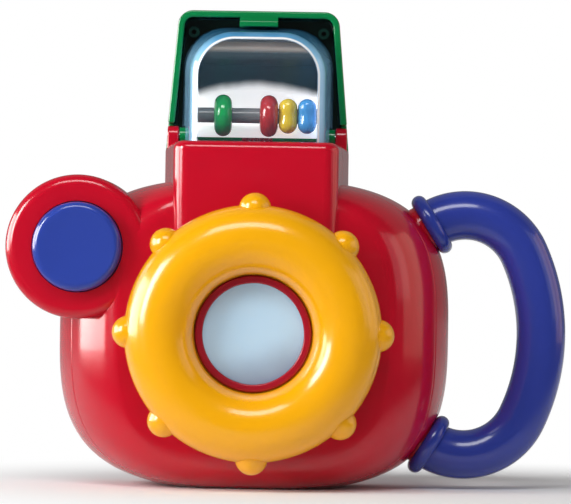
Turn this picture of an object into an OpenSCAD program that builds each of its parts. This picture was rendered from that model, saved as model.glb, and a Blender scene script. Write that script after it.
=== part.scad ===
// Toy camera: two-piece pillow body, pop-up flash head, turning lens ring, push button and handle.
// Millimetres. The origin lies on the base under the lens axis, +X to the viewer's right, the front faces -Y.

/* [Body] */
// Height of the lens axis above the base
lens_z = 50; // [46:0.5:56]
// Half of the body's width at its widest plane
body_half_w = 63; // [60:0.5:70]
// Height of the body above the lens axis
body_up = 49.5; // [47:0.5:54]
// Depth of the body's round below the lens axis, of which the base plane cuts off the lowest part
body_down = 51; // [50.5:0.25:53]
// Squareness of the body's outline, where 2 is an ellipse
body_square = 3.1; // [2.6:0.1:4]
// Distance from the shell seam forward to the flat front face
front_depth = 16; // [14:0.5:18]
// Distance from the shell seam back to the flat rear face
rear_depth = 40; // [36:0.5:46]
// Distance from the seam back to the widest plane
widest_y = 14; // [10:0.5:17]
// Rounding of the front edge, measured sideways
front_round_x = 20; // [14:0.5:22]
// Rounding of the front edge, measured up and down
front_round_z = 12; // [8:0.5:16]
// Rounding of the rear edge, measured sideways
rear_round_x = 16; // [12:0.5:20]
// Rounding of the rear edge, measured up and down
rear_round_z = 14; // [10:0.5:18]
// Thickness of the shell walls
wall = 2.5; // [1.8:0.1:3]
// Depth of the groove along the seam
seam_groove = 0.4; // [0.2:0.1:0.8]
// Distance from the seam back to the origin, which lies under the centre of mass
base_shift = 8; // [4:0.5:12]

/* [Tower] */
// Height of the tower's rim above the base
tower_top = 111; // [106:0.5:118]
// Distance from the seam forward to the tower's front face
tower_front = 18.5; // [17:0.25:18.8]
// Distance from the seam back to the tower's rear face
tower_rear = 27.6; // [25:0.5:31]
// Half of the tower's width at its rear face
tower_rear_half = 30; // [28:0.5:34]
// Half of the tower's width at its front face
tower_front_half = 26; // [24:0.5:28]
// Corner radius of the tower's front, seen from above
tower_corner = 5; // [4:0.5:8]
// Rounding of the tower's front top edge
tower_edge = 2; // [1:0.25:2.5]
// Thickness of the tower's front wall
tower_front_wall = 3; // [2.5:0.1:3.4]
// Depth of the flash pocket below the rim
pocket_depth = 21; // [20:0.5:24]

/* [Pod and button] */
// Distance of the pod's axis to the left of the lens axis
pod_x = 56.5; // [54:0.5:60]
// Height of the pod's axis above the lens axis
pod_up = 26.7; // [24:0.5:30]
// Radius of the pod
pod_r = 23; // [21:0.5:25]
// Distance from the seam forward to the pod's face
pod_front = 15.8; // [14:0.2:18]
// Distance from the seam back to the pod's rear
pod_rear = 16; // [14:0.5:20]
// Edge rounding of the pod
pod_edge = 3.5; // [2:0.5:5]
// Radius of the push button
button_r = 14.25; // [12:0.25:15]
// Height of the button above the pod's face
button_proud = 4.7; // [4.4:0.1:7]
// Travel of the button
button_travel = 4; // [2:0.5:4]
// Depth of the button's dished face
button_dish = 0.5; // [0.2:0.1:1]
// Edge rounding of the button
button_edge = 2.4; // [1:0.2:4]
// Width of the button's retaining flange beyond its side
button_flange = 1.75; // [1:0.25:2.5]
// Thickness of the button's walls and flange
button_wall = 2; // [1.5:0.1:2.5]

/* [Lens] */
// Radius of the lens ring's round section
ring_tube = 11; // [9:0.25:12]
// Radius of the circle that the round section runs on
ring_path = 29.75; // [28:0.25:32]
// Wall of the hollow lens ring
ring_wall = 2.5; // [1.8:0.1:3]
// Distance from the seam forward to the centre of the ring's section
ring_y = 27.5; // [26:0.25:30]
// Number of round knobs on the ring
knob_count = 8; // [5:1:12]
// Radius of the knobs
knob_r = 5.2; // [4:0.1:6]
// Depth to which the knobs' centres sink into the ring's rim
knob_sink = 1.35; // [0.5:0.05:2.5]
// Number of click notches around the ring's collar
notch_count = 24; // [12:1:36]
// Radius of the click notches
notch_r = 1.1; // [0.8:0.1:1.4]
// Radius of the barrel that the lens ring turns on
barrel_r = 17; // [15.5:0.1:17.5]
// Radius of the mirror disc
mirror_r = 16; // [13:0.25:16.2]
// Thickness of the mirror disc
mirror_t = 1.6; // [1:0.1:2.5]
// Height of the mirror's crown
mirror_crown = 0.8; // [0.4:0.1:1.2]

/* [Flash head] */
// Distance from the tower's rear face forward to the hinge axis
hinge_in = 5.1; // [5:0.1:6]
// Height of the hinge axis above the tower's rim
hinge_up = 2.4; // [2.2:0.1:3]
// Radius of the lid's knuckle
knuckle_r = 2.8; // [2.5:0.1:3]
// Radius of the hinge pin
pin_r = 1.3; // [1:0.1:1.5]
// Thickness of the hinge ears
ear_t = 3.7; // [3:0.1:4.5]
// Outer radius of the hinge ears
ear_r = 3.2; // [2.8:0.1:3.6]
// Thickness of the lid's back plate
lid_plate = 2.4; // [1.8:0.1:3]
// Distance from the hinge axis back to the lid's outer face
lid_back = 8.2; // [7.8:0.1:10]
// Thickness of the lid's rim wall
lid_rim = 2.2; // [1.8:0.1:2.6]
// Half of the window's width at its base
window_half = 24.6; // [22:0.2:25]
// Height of the window's top above the hinge axis at its base
window_top = 34.9; // [32:0.2:35]
// Distance from the hinge axis forward to the window's face
window_deep = 20; // [18:0.5:20.5]
// Radius of the window's upper corners
window_corner = 14; // [8:0.5:18]
// Draft of the window's sides from its base to its face
window_draft = 3.2; // [2:0.1:3.4]
// Draft of the window's top from its base to its face
window_top_draft = 4.5; // [4:0.1:5.5]
// Wall of the window
window_wall = 1.6; // [1.2:0.1:2]
// Drop of the window's lower edge below the hinge axis
window_drop = 2.2; // [1:0.1:2.3]
// Half of the catch's width
catch_half = 6.3; // [5:0.1:8]
// Thickness of the catch's prong
catch_t = 1.8; // [1.4:0.1:2]
// Distance that the catch reaches forward of the hinge axis
catch_reach = 9; // [8:0.25:9.5]

/* [Beads] */
// Radius of the bead rod
rod_r = 2.5; // [1.5:0.1:3]
// Height of the rod above the hinge axis
rod_up = 6.6; // [6:0.1:8]
// Distance from the hinge axis forward to the rod
rod_forward = 9.6; // [9:0.1:10.5]
// Radius of the beads
bead_r = 6.8; // [5:0.1:7]
// Thickness of a bead
bead_t = 6; // [5:0.1:6]
// Distance of the right-hand bead's centre from the middle
bead_last = 16.1; // [15.6:0.1:16.2]
// Distance between the centres of the three packed beads
bead_pitch = 6.2; // [6.1:0.05:6.4]
// Distance of the loose bead's centre to the left of the middle
bead_loose = 11.1; // [10:0.1:13]
// Number of hollows around the rims of the two lobed beads
bead_lobes = 6; // [4:1:8]
// Depth of those hollows
lobe_depth = 0.9; // [0.4:0.1:1.2]
// Half of the distance between the reflector's cheeks
cheek_half = 19.3; // [19.2:0.1:19.6]
// Thickness of the reflector's sheet
sheet_t = 1; // [0.8:0.1:1.2]

/* [Handle] */
// Radius of the handle's tube
handle_r = 7.9; // [6.5:0.1:8.5]
// Wall of the handle's tube
handle_wall = 2.5; // [1.8:0.1:3]
// Distance from the lens axis to the tube's centre at its widest
handle_reach = 93.1; // [88:0.5:100]
// Radius of the handle's long curve
handle_long_r = 63.6; // [55:0.5:70]
// Radius of the handle's corner curves
handle_corner_r = 21; // [17:0.5:23]
// Height of the corner curves' centres above and below the lens axis
handle_corner_up = 17.8; // [15:0.2:20]
// Slope of the handle's ends
handle_slope = 31.8; // [25:0.5:40]
// Radius of the collars at the handle's ends
collar_r = 10.5; // [9:0.25:11.5]
// Width of the collars
collar_w = 4.9; // [3:0.1:6]
// Radius of the spigots that enter the body
spigot_r = 6.2; // [5:0.1:6.5]
// Depth of the handle's sockets inside the body's side
socket_in = 6; // [5:0.25:8]
// Length of the spigots
spigot_l = 14; // [12:0.5:16]

/* [Inside] */
// Distance of the shell screws to each side of the lens axis
screw_x = 38; // [35:0.5:40]
// Distance of the lower screws below the lens axis
screw_down = 22; // [18:0.5:25]
// Distance of the upper screws above the lens axis
screw_up = 15; // [10:0.5:16]
// Radius of the screws' shanks
screw_r = 1.25; // [1:0.05:1.5]
// Radius of the screws' heads
screw_head_r = 3; // [2.4:0.1:3.4]
// Thickness of the lever's arms
lever_t = 3; // [2.4:0.1:3.5]
// Radius of the lever's shoulder screw
lever_pin_r = 2; // [1.6:0.1:2.4]
// Outer radius of the bellows
bellows_r = 9; // [7:0.25:10]
// Number of folds in the bellows
bellows_folds = 5; // [3:1:7]
// Wall of the bellows
bellows_wall = 0.9; // [0.6:0.1:1.2]
// Radius of the spring's wire
wire_r = 0.4; // [0.3:0.05:0.5]
// Number of turns in the spring
spring_turns = 5; // [3:1:6]

/* [Clearances] */
// Gap between turning or sliding faces
run_gap = 0.25; // [0.15:0.05:0.3]
// Gap around fixed fits
fit_gap = 0.05; // [0.02:0.01:0.1]
// Gap between faces that swing past each other
swing_gap = 0.4; // [0.3:0.05:0.5]

/* [Hidden] */
$fn = 64;

// Overshoot of a cutting solid past the face that it cuts
over = 1;
// Size of a block larger than the whole object
big = 400;

// Colours
red = [0.75, 0.06, 0.15];
yellow = [0.95, 0.68, 0.02];
blue = [0.17, 0.25, 0.58];
green = [0.02, 0.5, 0.28];
silver = [0.72, 0.76, 0.8];
steel = [0.62, 0.63, 0.65];

// Body loft
outline_n = 56;
loft_steps = 6;
front_power = 1.5;
front_power_z = 3.4;
rear_power = 2.2;
rear_power_z = 2.6;

// Tower and hinge places
tower_base = lens_z + 10;
pocket_floor = tower_top - pocket_depth;
tower_slant = atan((tower_rear_half - tower_front_half) / (tower_rear + tower_front));
hinge_y = tower_rear - hinge_in;
hinge_z = tower_top + hinge_up;
ear_set_in = 0.3;
ear_in = tower_rear_half - hinge_in * tan(tower_slant) - ear_t - ear_set_in;
knuckle_half = ear_in - run_gap;
lid_front = run_gap + fit_gap - hinge_up;
ear_clear = 0.5;
ear_room = ear_r + ear_clear + swing_gap;
plate_front = lid_back - lid_plate;
lid_top = hinge_y + tower_front;

// Button places
pod_z = lens_z + pod_up;
pod_face_in = wall - pod_front;
button_front = -pod_front - button_proud;
flange_y = pod_face_in + run_gap;
bellows_front = button_front + button_wall + button_dish + run_gap;
bellows_rear = 4.6;
leg_out = 11.2;
leg_x = leg_out - pod_x;
leg_up = 3.3;
leg_r = 2;
leg_end = 1.6;

// Lens places
ring_gap = 0.7;
collar_out = ring_path - ring_tube + ring_wall;
ring_hole = ring_path - ring_tube;
ring_rear = -tower_front - ring_gap;
web_set = 2.3;
web_rear = ring_rear - web_set;
web_t = 2.5;
barrel_front = web_rear - web_t - run_gap;
bezel_front = -ring_y;
bezel_r = ring_hole - run_gap;
barrel_wall = 3;
shoulder_rise = 1.5;
shoulder_gap = 0.2;
barrel_bore = barrel_r - barrel_wall;
bezel_edge = 0.8;
bezel_back_edge = 0.2;
bezel_sink = 0.5;
mirror_rest = 0.3;
mirror_recess = mirror_t + mirror_rest;
click_rise = 1.6;
click_w = 2.2;
click_edge = collar_out + click_rise;
notch_share = 0.3;

// Lever places
lever_z = pod_z + leg_up - leg_r;
lever_pivot_x = -7;
lever_pivot_y = 8;
lever_tip_x = leg_x;
tip_half = 1.4;
tip_deep = 3;
hub_r = 4.6;
arm_half = 3.6;
lever_tip_y = leg_end + swing_gap;
post_w = 2.4;
notch_gap = 0.4;
post_clear = 0.2;
post_x = -catch_half - run_gap - post_w / 2 - notch_gap;
catch_under = 0.3;
catch_low = window_top - catch_under;
post_y = tower_front_wall - tower_front + swing_gap + post_clear + post_w / 2;
nose_over = 3.6;
post_top = hinge_z - catch_reach + nose_over;
nose_depth = 1.5;
nose_t = 2;
nose_gap = 0.65;
lever_turn = atan(button_travel / (lever_pivot_x - lever_tip_x));
lever_swing = (lever_pivot_y - post_y) * sin(lever_turn) + swing_gap;
lever_head_r = 3.8;
lever_head_t = 1.8;
pin_play = 0.1;
pin_fit = 0.02;

// Handle places
handle_y = widest_y;
handle_sides = 24;
handle_long_x = handle_reach - handle_long_r;
handle_corner_x = handle_long_x
    + sqrt(pow(handle_long_r - handle_corner_r, 2) - pow(handle_corner_up, 2));
handle_joint = atan(handle_corner_up / (handle_corner_x - handle_long_x));
collar_x = handle_corner_x - handle_corner_r * sin(handle_slope);
collar_up = handle_corner_up + handle_corner_r * cos(handle_slope);
body_edge = body_half_w * pow(1 - pow(collar_up / body_up, body_square), 1 / body_square);
socket_l = max(spigot_l - collar_w, socket_in + (collar_x - body_edge) / cos(handle_slope));
socket_end = max(spigot_l, socket_l);
socket_step = 1;
bore_past = 3;
spigot_wall = 1.8;

// Screw places
screw_spots = [for (side = [-1, 1], z = [lens_z - screw_down, lens_z + screw_up]) [side * screw_x, z]];
boss_wall = 1;
boss_r = screw_head_r + boss_wall;
well_gap = 0.6;
well_r = screw_head_r + well_gap;
post_wall = 1.4;
slot_w = 0.8;
slot_l = 3.6;
well_end = 6.5;
screw_head_t = 2.4;
screw_tip = -9;

// Flash places
spring_play = 0.6;
knuckle_from = 5;
knuckle_web = [-1.2, 2.2];
corner_boss = [21.2, 34];
corner_boss_r = 1.8;
corner_hole_r = 0.8;
seat_in = 0.5;
catch_head = 1.2;
window_soft = 4;
window_soft_deep = 5;
window_least_r = 4;
hood_r = knuckle_r + swing_gap + pin_play;
spring_span = 8;
spring_r = pin_r + wire_r + spring_play;
spring_steps = 10;
wire_sides = 6;

// Squeaker places
reed_r = 4;
reed_bore = 2.6;
reed_face = 1.2;
reed_slot = [4, 2, 0.8];
bellows_fold_deep = 2.2;
bellows_slant = 1.4;
sound_path = 2.4;
sound_r = 0.7;

// Click pawl places
pawl_tip = click_edge + notch_r * notch_share;
pawl_w = 1.2;
pawl_t = 2;
pawl_l = 5.6;
pawl_drop = 6;
pawl_foot = [7, 1.6, 9];
pawl_foot_drop = 10;
pawl_heel = [1.2, 2.2, 3];
pawl_bead = 0.6;
pawl_bead_in = 0.35;
pawl_hole_r = 0.9;
pawl_hole_drop = 8;

// Curve that runs from 0 to 1 as a rounded edge does
function edge_curve(u, p) = 1 - pow(1 - pow(min(1, u), p), 1 / p);

// Share of the way from the widest plane to the front face, or to the rear face, of a body thinned by t
function front_share(y, t) = (widest_y - y) / (widest_y + front_depth - t);
function rear_share(y, t) = (y - widest_y) / (rear_depth - t - widest_y);

// Inset of the body's outline at depth y, sideways and up and down
function inset_x(y, t) = y < widest_y
    ? (front_round_x - t / 2) * edge_curve(front_share(y, t), front_power)
    : (rear_round_x - t / 2) * edge_curve(rear_share(y, t), rear_power);
function inset_z(y, t) = y < widest_y
    ? (front_round_z - t / 2) * edge_curve(front_share(y, t), front_power_z)
    : (rear_round_z - t / 2) * edge_curve(rear_share(y, t), rear_power_z);

// Power that keeps its sign
function signed_power(v, p) = sign(v) * pow(abs(v), p);

// One outline of the body at depth y, thinned by t, with its foot cut flat
function section(y, t, extra = 0) = [for (i = [0:outline_n - 1])
    let (a = 360 * i / outline_n,
        side = body_half_w - t - extra - inset_x(y, t),
        high = (sin(a) > 0 ? body_up : body_down) - t - extra - inset_z(y, t),
        x = side * signed_power(cos(a), 2 / body_square),
        z = high * signed_power(sin(a), 2 / body_square))
    [x, y, max(lens_z + z, t)]];

// Depths of the outlines, closer together where the edge turns
function front_depths(t) = let (span = widest_y + front_depth - t,
        first = asin(pow(widest_y / span, front_power / 2)))
    [for (i = [loft_steps:-1:0])
        widest_y - span * pow(sin(first + (90 - first) * i / loft_steps), 2 / front_power)];
function rear_depths(t) = let (span = rear_depth - t - widest_y)
    concat([widest_y / 2], [for (i = [0:loft_steps])
        widest_y + span * pow(sin(90 * i / loft_steps), 2 / rear_power)]);

// Closed solid through outlines of equal point count, from front to rear
module loft(outlines) {
    n = len(outlines[0]);
    m = len(outlines);
    points = [for (o = outlines) each o];
    sides = [for (k = [0:m - 2], i = [0:n - 1]) let (a = k * n + i, b = k * n + (i + 1) % n)
        each [[a, b, a + n], [b, b + n, a + n]]];
    caps = [[for (i = [n - 1:-1:0]) i], [for (i = [0:n - 1]) (m - 1) * n + i]];
    polyhedron(points, concat(sides, caps), convexity = 4);
}

// Points of an arc
function arc(x, y, r, from, to, n = 8) = [for (i = [0:n]) let (a = from + (to - from) * i / n)
    [x + r * cos(a), y + r * sin(a)]];

// Half width of the tower at depth y
function tower_half(y) = tower_rear_half - (tower_rear - y) * tan(tower_slant);

// Outline of the tower seen from above, moved inwards
function tower_plan(side_in, front_in, rear_in) = let (
        r = max(1, tower_corner - side_in),
        front = front_in - tower_front,
        rear = tower_rear - rear_in,
        cx = tower_half(front + r) - side_in / cos(tower_slant) - r / cos(tower_slant))
    concat([[tower_half(rear) - side_in / cos(tower_slant), rear]],
        arc(cx, front + r, r, -tower_slant, -90, 6),
        arc(-cx, front + r, r, -90, tower_slant - 180, 6),
        [[side_in / cos(tower_slant) - tower_half(rear), rear]]);

// The whole model is built from the seam, and moved so that the base's centre is the origin
module in_frame() translate([0, -base_shift, 0]) children();

// Cylinders along the three axes
module rod_x(y, z, r, from, to) translate([from, y, z]) rotate([0, 90, 0]) cylinder(h = to - from, r = r);
module rod_y(x, z, r, from, to) translate([x, from, z]) rotate([-90, 0, 0]) cylinder(h = to - from, r = r);
module rod_z(x, y, r, from, to) translate([x, y, from]) cylinder(h = to - from, r = r);

// A profile of radius and depth turned about an axis along Y
module turned(x, z) translate([x, 0, z]) rotate([-90, 0, 0]) rotate_extrude() children();

// A side outline of depth and height, carried across from one x to another
module across(from, to) translate([from, 0, 0]) rotate([90, 0, 90]) linear_extrude(to - from) children();

// A side outline measured from the hinge axis
module flash_across(from, to) translate([0, hinge_y, hinge_z]) across(from, to) children();

// A front outline measured from the hinge axis, carried from one depth to another
module flash_plate(from, to) translate([0, hinge_y + to, hinge_z]) rotate([90, 0, 0])
    linear_extrude(to - from) children();

// Everything in front of the seam, or behind it
module before_seam() intersection() {
    children();
    translate([-big / 2, -big, -big / 2]) cube(big);
}
module behind_seam() intersection() {
    children();
    translate([-big / 2, 0, -big / 2]) cube(big);
}

// Half profile of a disc with round edges, from one depth to another
module disc_profile(r, from, to, front_edge, rear_edge) polygon(concat(
    [[0, from]], arc(r - front_edge, from + front_edge, front_edge, -90, 0, 6),
    arc(r - rear_edge, to - rear_edge, rear_edge, 0, 90, 6), [[0, to]]));

// Outer form of the tower
module tower_block() intersection() {
    translate([0, 0, tower_base]) linear_extrude(tower_top - tower_base) polygon(tower_plan(0, 0, 0));
    across(-big / 2, big / 2) polygon(concat(
        [[tower_rear + over, tower_base - over], [tower_rear + over, tower_top], [0, tower_top]],
        arc(tower_edge - tower_front, tower_top - tower_edge, tower_edge, 90, 180, 6),
        [[-tower_front, tower_base - over]]));
}

// Well that takes the closed flash head
module pocket() translate([0, 0, pocket_floor]) linear_extrude(pocket_depth + over)
    polygon(tower_plan(wall, tower_front_wall, wall));

// Hollow of the tower below the pocket's floor
module tower_hollow() translate([0, 0, tower_base + wall])
    linear_extrude(pocket_floor - tower_base - 2 * wall)
        polygon(tower_plan(wall, tower_front_wall, wall));

// Block that stays as the pocket's floor and walls inside the body
module pocket_block() translate([0, 0, pocket_floor - wall]) linear_extrude(big)
    polygon(tower_plan(0, 0, 0));

// Outer form and hollow of the pod
module pod_block() turned(-pod_x, pod_z) disc_profile(pod_r, -pod_front, pod_rear, pod_edge, pod_edge);
module pod_hollow() rod_y(-pod_x, pod_z, pod_r - wall, pod_face_in, pod_rear - wall);

// One end of the handle: child geometry stands on the end's axis, pointing out of the body along +Z
module at_handle_end(side) translate([collar_x, handle_y, lens_z + side * collar_up])
    rotate([0, 90 - side * handle_slope, 0]) children();

module front_shell() color(red) in_frame() difference() {
    union() {
        difference() {
            union() {
                loft(concat([for (y = front_depths(0)) if (y < -seam_groove) section(y, 0)],
                    [section(-seam_groove, 0), section(0, 0, seam_groove)]));
                before_seam() tower_block();
                before_seam() pod_block();
            }
            difference() {
                union() {
                    loft(concat([for (y = front_depths(wall)) section(y, wall)], [section(over, wall)]));
                    tower_hollow();
                    pod_hollow();
                }
                pocket_block();
            }
            pocket();
        }
        // Barrel for the lens ring, with a shoulder behind the ring's web
        rod_y(0, lens_z, barrel_r + shoulder_rise, web_rear + shoulder_gap, -front_depth + wall / 2);
        rod_y(0, lens_z, barrel_r, barrel_front, -front_depth);
        // Screw bosses
        for (spot = screw_spots) rod_y(spot.x, spot.y, boss_r, -front_depth + wall / 2, 0);
    }
    rod_y(0, lens_z, barrel_bore, barrel_front - over, over);
    rod_y(-pod_x, pod_z, button_r + run_gap, -pod_front - over, pod_face_in + over);
    for (spot = screw_spots) rod_y(spot.x, spot.y, screw_r + fit_gap, screw_tip - over, over);
    // Slot in the pocket's floor for the lever's post
    translate([post_x - post_w / 2 - lever_swing - notch_gap, post_y - post_w / 2 - notch_gap,
        pocket_floor - wall - over])
        cube([post_w + lever_swing + 2 * notch_gap, post_w + 2 * notch_gap, wall + 2 * over]);
}

module rear_shell() color(red) in_frame() difference() {
    union() {
        difference() {
            union() {
                loft(concat([section(0, 0, seam_groove), section(seam_groove, 0)],
                    [for (y = rear_depths(0)) section(y, 0)]));
                behind_seam() tower_block();
                behind_seam() pod_block();
                // Sockets that carry the handle, from inside the body out to the collars
                for (side = [-1, 1]) at_handle_end(side) translate([0, 0, -socket_l])
                    cylinder(h = socket_l - collar_w / 2, r = collar_r - socket_step);
            }
            difference() {
                union() {
                    loft(concat([section(-over, wall)], [for (y = rear_depths(wall)) section(y, wall)]));
                    tower_hollow();
                    pod_hollow();
                }
                pocket_block();
            }
            pocket();
        }
        // Hinge ears on the tower's side walls
        for (side = [-1, 1]) mirror([side < 0 ? 1 : 0, 0, 0]) {
            rod_x(hinge_y, hinge_z, ear_r, ear_in, ear_in + ear_t);
            translate([ear_in, hinge_y - ear_r, tower_top - wall]) cube([ear_t, 2 * ear_r, wall + hinge_up]);
        }
        // Screw posts
        for (spot = screw_spots) rod_y(spot.x, spot.y, well_r + post_wall, 0, rear_depth - wall / 2);
        // Seat of the bellows in the pod
        rod_y(-pod_x, pod_z, bellows_r, bellows_rear + fit_gap, pod_rear - wall / 2);
        // Boss that the lever hangs from
        rod_z(lever_pivot_x, lever_pivot_y, lever_pin_r + shoulder_rise, lever_z + lever_t + run_gap,
            pocket_floor - wall / 2);
    }
    rod_x(hinge_y, hinge_z, pin_r + pin_fit, -big / 2, big / 2);
    for (spot = screw_spots) {
        rod_y(spot.x, spot.y, well_r, well_end, big / 2);
        rod_y(spot.x, spot.y, screw_r + run_gap, -over, well_end + over);
    }
    // Holes for the handle's spigots, and flat seats for its collars
    for (side = [-1, 1]) at_handle_end(side) {
        translate([0, 0, -socket_end - over]) cylinder(h = socket_end + 2 * over, r = spigot_r + fit_gap);
        translate([0, 0, -collar_w / 2]) cylinder(h = 4 * collar_w, r = collar_r + run_gap);
    }
    rod_y(-pod_x, pod_z, reed_r, bellows_rear - over, pod_rear - wall);
    // Sound holes in the pod's rear
    for (i = [0:5]) rod_y(-pod_x + sound_path * cos(60 * i), pod_z + sound_path * sin(60 * i), sound_r, 0,
        pod_rear + over);
    rod_z(lever_pivot_x, lever_pivot_y, screw_r + fit_gap, lever_z, pocket_floor - wall);
}

module shell_screws() color(steel) in_frame() for (spot = screw_spots) difference() {
    union() {
        rod_y(spot.x, spot.y, screw_head_r, well_end, well_end + screw_head_t);
        rod_y(spot.x, spot.y, screw_r, screw_tip, well_end + screw_head_t / 2);
    }
    for (turn = [0, 90]) translate([spot.x, well_end + screw_head_t, spot.y]) rotate([0, turn, 0])
        cube([slot_w, screw_head_t, slot_l], center = true);
}

// Section of the lens ring back to a given depth: round in front and outside, straight along the bore
module ring_profile(r, rear) union() {
    intersection() {
        translate([ring_path, -ring_y]) circle(r = r);
        union() {
            translate([ring_path - r, -ring_y - r]) square([2 * r, r]);
            translate([ring_path, -ring_y]) square([r, rear + ring_y]);
        }
    }
    translate([ring_path - r, -ring_y]) square([r, rear + ring_y]);
}

module lens_ring() color(yellow) in_frame() difference() {
    union() {
        difference() {
            union() {
                turned(0, lens_z) ring_profile(ring_tube, ring_rear);
                for (i = [0:knob_count - 1])
                    translate([0, -ring_y, lens_z]) rotate([0, 360 * i / knob_count, 0])
                    translate([0, 0, ring_path + ring_tube - knob_sink]) sphere(r = knob_r);
            }
            turned(0, lens_z) ring_profile(ring_tube - ring_wall, ring_rear + over);
        }
        // Web that runs on the barrel, and the click collar
        turned(0, lens_z) translate([barrel_r + run_gap, web_rear - web_t])
            square([collar_out - barrel_r - run_gap - ring_wall / 2, web_t]);
        turned(0, lens_z) translate([collar_out - ring_wall / 2, ring_rear - click_w])
            square([ring_wall / 2 + click_rise, click_w]);
    }
    for (i = [0:notch_count - 1]) translate([0, 0, lens_z]) rotate([0, 360 * i / notch_count, 0])
        rod_y(0, pawl_tip, notch_r, ring_rear - click_w - over / 2, ring_rear + over);
}

module lens_bezel() color(red) in_frame() difference() {
    union() {
        turned(0, lens_z) disc_profile(bezel_r, bezel_front, barrel_front, bezel_edge, bezel_back_edge);
        rod_y(0, lens_z, barrel_bore - fit_gap, barrel_front - bezel_sink, -front_depth + wall);
    }
    rod_y(0, lens_z, mirror_r + fit_gap, bezel_front - over, bezel_front + mirror_recess);
    rod_y(0, lens_z, barrel_bore - wall, bezel_front + mirror_recess - over, big / 2);
}

module lens_mirror() color(silver) in_frame() {
    crown_r = (mirror_r * mirror_r + mirror_crown * mirror_crown) / (2 * mirror_crown);
    seat = bezel_front + mirror_recess;
    turned(0, lens_z) polygon(concat([[0, seat], [mirror_r, seat]],
        arc(0, seat - mirror_t + crown_r, crown_r, asin(mirror_r / crown_r) - 90, -90, 8)));
}

// Leaf on the body's front, whose bead clicks in the ring's notches
module click_pawl() color(steel) in_frame() {
    tip_z = lens_z - pawl_tip;
    difference() {
        union() {
            rod_y(0, tip_z - pawl_bead_in, notch_r * pawl_bead, ring_rear - pawl_t, -pawl_w - front_depth);
            translate([-pawl_w / 2, ring_rear - pawl_t, tip_z - pawl_drop]) cube([pawl_w, pawl_t, pawl_l]);
            translate([-pawl_foot.x / 2, -front_depth - pawl_foot.y, tip_z - pawl_foot_drop]) cube(pawl_foot);
            translate([-pawl_w / 2, ring_rear - pawl_t / 4, tip_z - pawl_drop]) cube(pawl_heel);
        }
        rod_y(0, tip_z - pawl_hole_drop, pawl_hole_r, -front_depth - 2 * pawl_t, -front_depth + over);
    }
}

module shutter_button() color(blue) in_frame() {
    face_r = button_r - button_edge;
    dish_r = (face_r * face_r + button_dish * button_dish) / (2 * button_dish);
    difference() {
        union() {
            turned(-pod_x, pod_z) disc_profile(button_r, button_front, flange_y + button_wall, button_edge,
                bezel_back_edge);
            rod_y(-pod_x, pod_z, button_r + button_flange, flange_y, flange_y + button_wall);
            rod_y(leg_x, pod_z + leg_up, leg_r, flange_y, leg_end);
        }
        // Dished face
        turned(-pod_x, pod_z) polygon(concat([[0, button_front - over], [face_r, button_front - over]],
            arc(0, button_front + button_dish - dish_r, dish_r, 90 - asin(face_r / dish_r), 90, 8)));
        difference() {
            rod_y(-pod_x, pod_z, button_r - button_wall, button_front + button_wall + button_dish,
                flange_y + button_wall + over);
            rod_y(leg_x, pod_z + leg_up, leg_r, button_front, leg_end);
        }
    }
}

module squeaker_bellows() color([0.86, 0.84, 0.78]) in_frame() {
    length = bellows_rear - bellows_front;
    fold = length / bellows_folds;
    skin = bellows_wall * bellows_slant;
    outer = [for (i = [0:2 * bellows_folds])
        [bellows_r - (i % 2 == 0 ? bellows_fold_deep : 0), bellows_front + i * fold / 2]];
    turned(-pod_x, pod_z) difference() {
        polygon(concat([[0, bellows_front]], outer, [[0, bellows_rear]]));
        polygon(concat([[0, bellows_front + bellows_wall]],
            [for (p = outer) [p.x - skin, min(bellows_rear + over, max(bellows_front + bellows_wall, p.y))]],
            [[bellows_r - bellows_fold_deep - skin, bellows_rear + over], [0, bellows_rear + over]]));
    }
}

module squeaker_reed() color("white") in_frame() difference() {
    rod_y(-pod_x, pod_z, reed_r - fit_gap, bellows_rear + fit_gap, pod_rear - wall);
    rod_y(-pod_x, pod_z, reed_bore, bellows_rear + reed_face, pod_rear);
    translate([-pod_x - reed_slot.x / 2, bellows_rear, pod_z - reed_slot.z / 2]) cube(reed_slot);
}

module release_lever() color([0.9, 0.9, 0.88]) in_frame() difference() {
    union() {
        rod_z(lever_pivot_x, lever_pivot_y, hub_r, lever_z, lever_z + lever_t);
        // Long arm to the button's leg
        translate([lever_tip_x - tip_half, lever_tip_y, lever_z]) cube([2 * tip_half, tip_deep, lever_t]);
        translate([0, 0, lever_z]) linear_extrude(lever_t) polygon([
            [lever_tip_x, lever_tip_y + post_clear], [lever_pivot_x, lever_pivot_y - arm_half],
            [lever_pivot_x, lever_pivot_y + arm_half], [lever_tip_x, lever_tip_y + tip_deep]]);
        // Short arm to the post
        translate([0, 0, lever_z]) linear_extrude(lever_t) polygon([
            [lever_pivot_x - arm_half, lever_pivot_y], [post_x - post_w / 2, post_y - post_w / 2],
            [post_x + post_w / 2, post_y - post_w / 2], [lever_pivot_x + arm_half, lever_pivot_y]]);
        // Post through the pocket's floor, with the nose that holds the catch
        translate([post_x - post_w / 2, post_y - post_w / 2, lever_z])
            cube([post_w, post_w, post_top - lever_z]);
        translate([post_x, post_y - post_w / 2, post_top - nose_t])
            cube([post_w / 2 + nose_depth + nose_gap, post_w, nose_t]);
    }
    rod_z(lever_pivot_x, lever_pivot_y, lever_pin_r + pin_play, lever_z - over, lever_z + lever_t + over);
}

module lever_screw() color(steel) in_frame() union() {
    rod_z(lever_pivot_x, lever_pivot_y, lever_pin_r, lever_z - run_gap, lever_z + lever_t + run_gap);
    rod_z(lever_pivot_x, lever_pivot_y, screw_r, lever_z, pocket_floor - wall - seat_in);
    rod_z(lever_pivot_x, lever_pivot_y, lever_head_r, lever_z - run_gap - lever_head_t, lever_z - run_gap);
}

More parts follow.
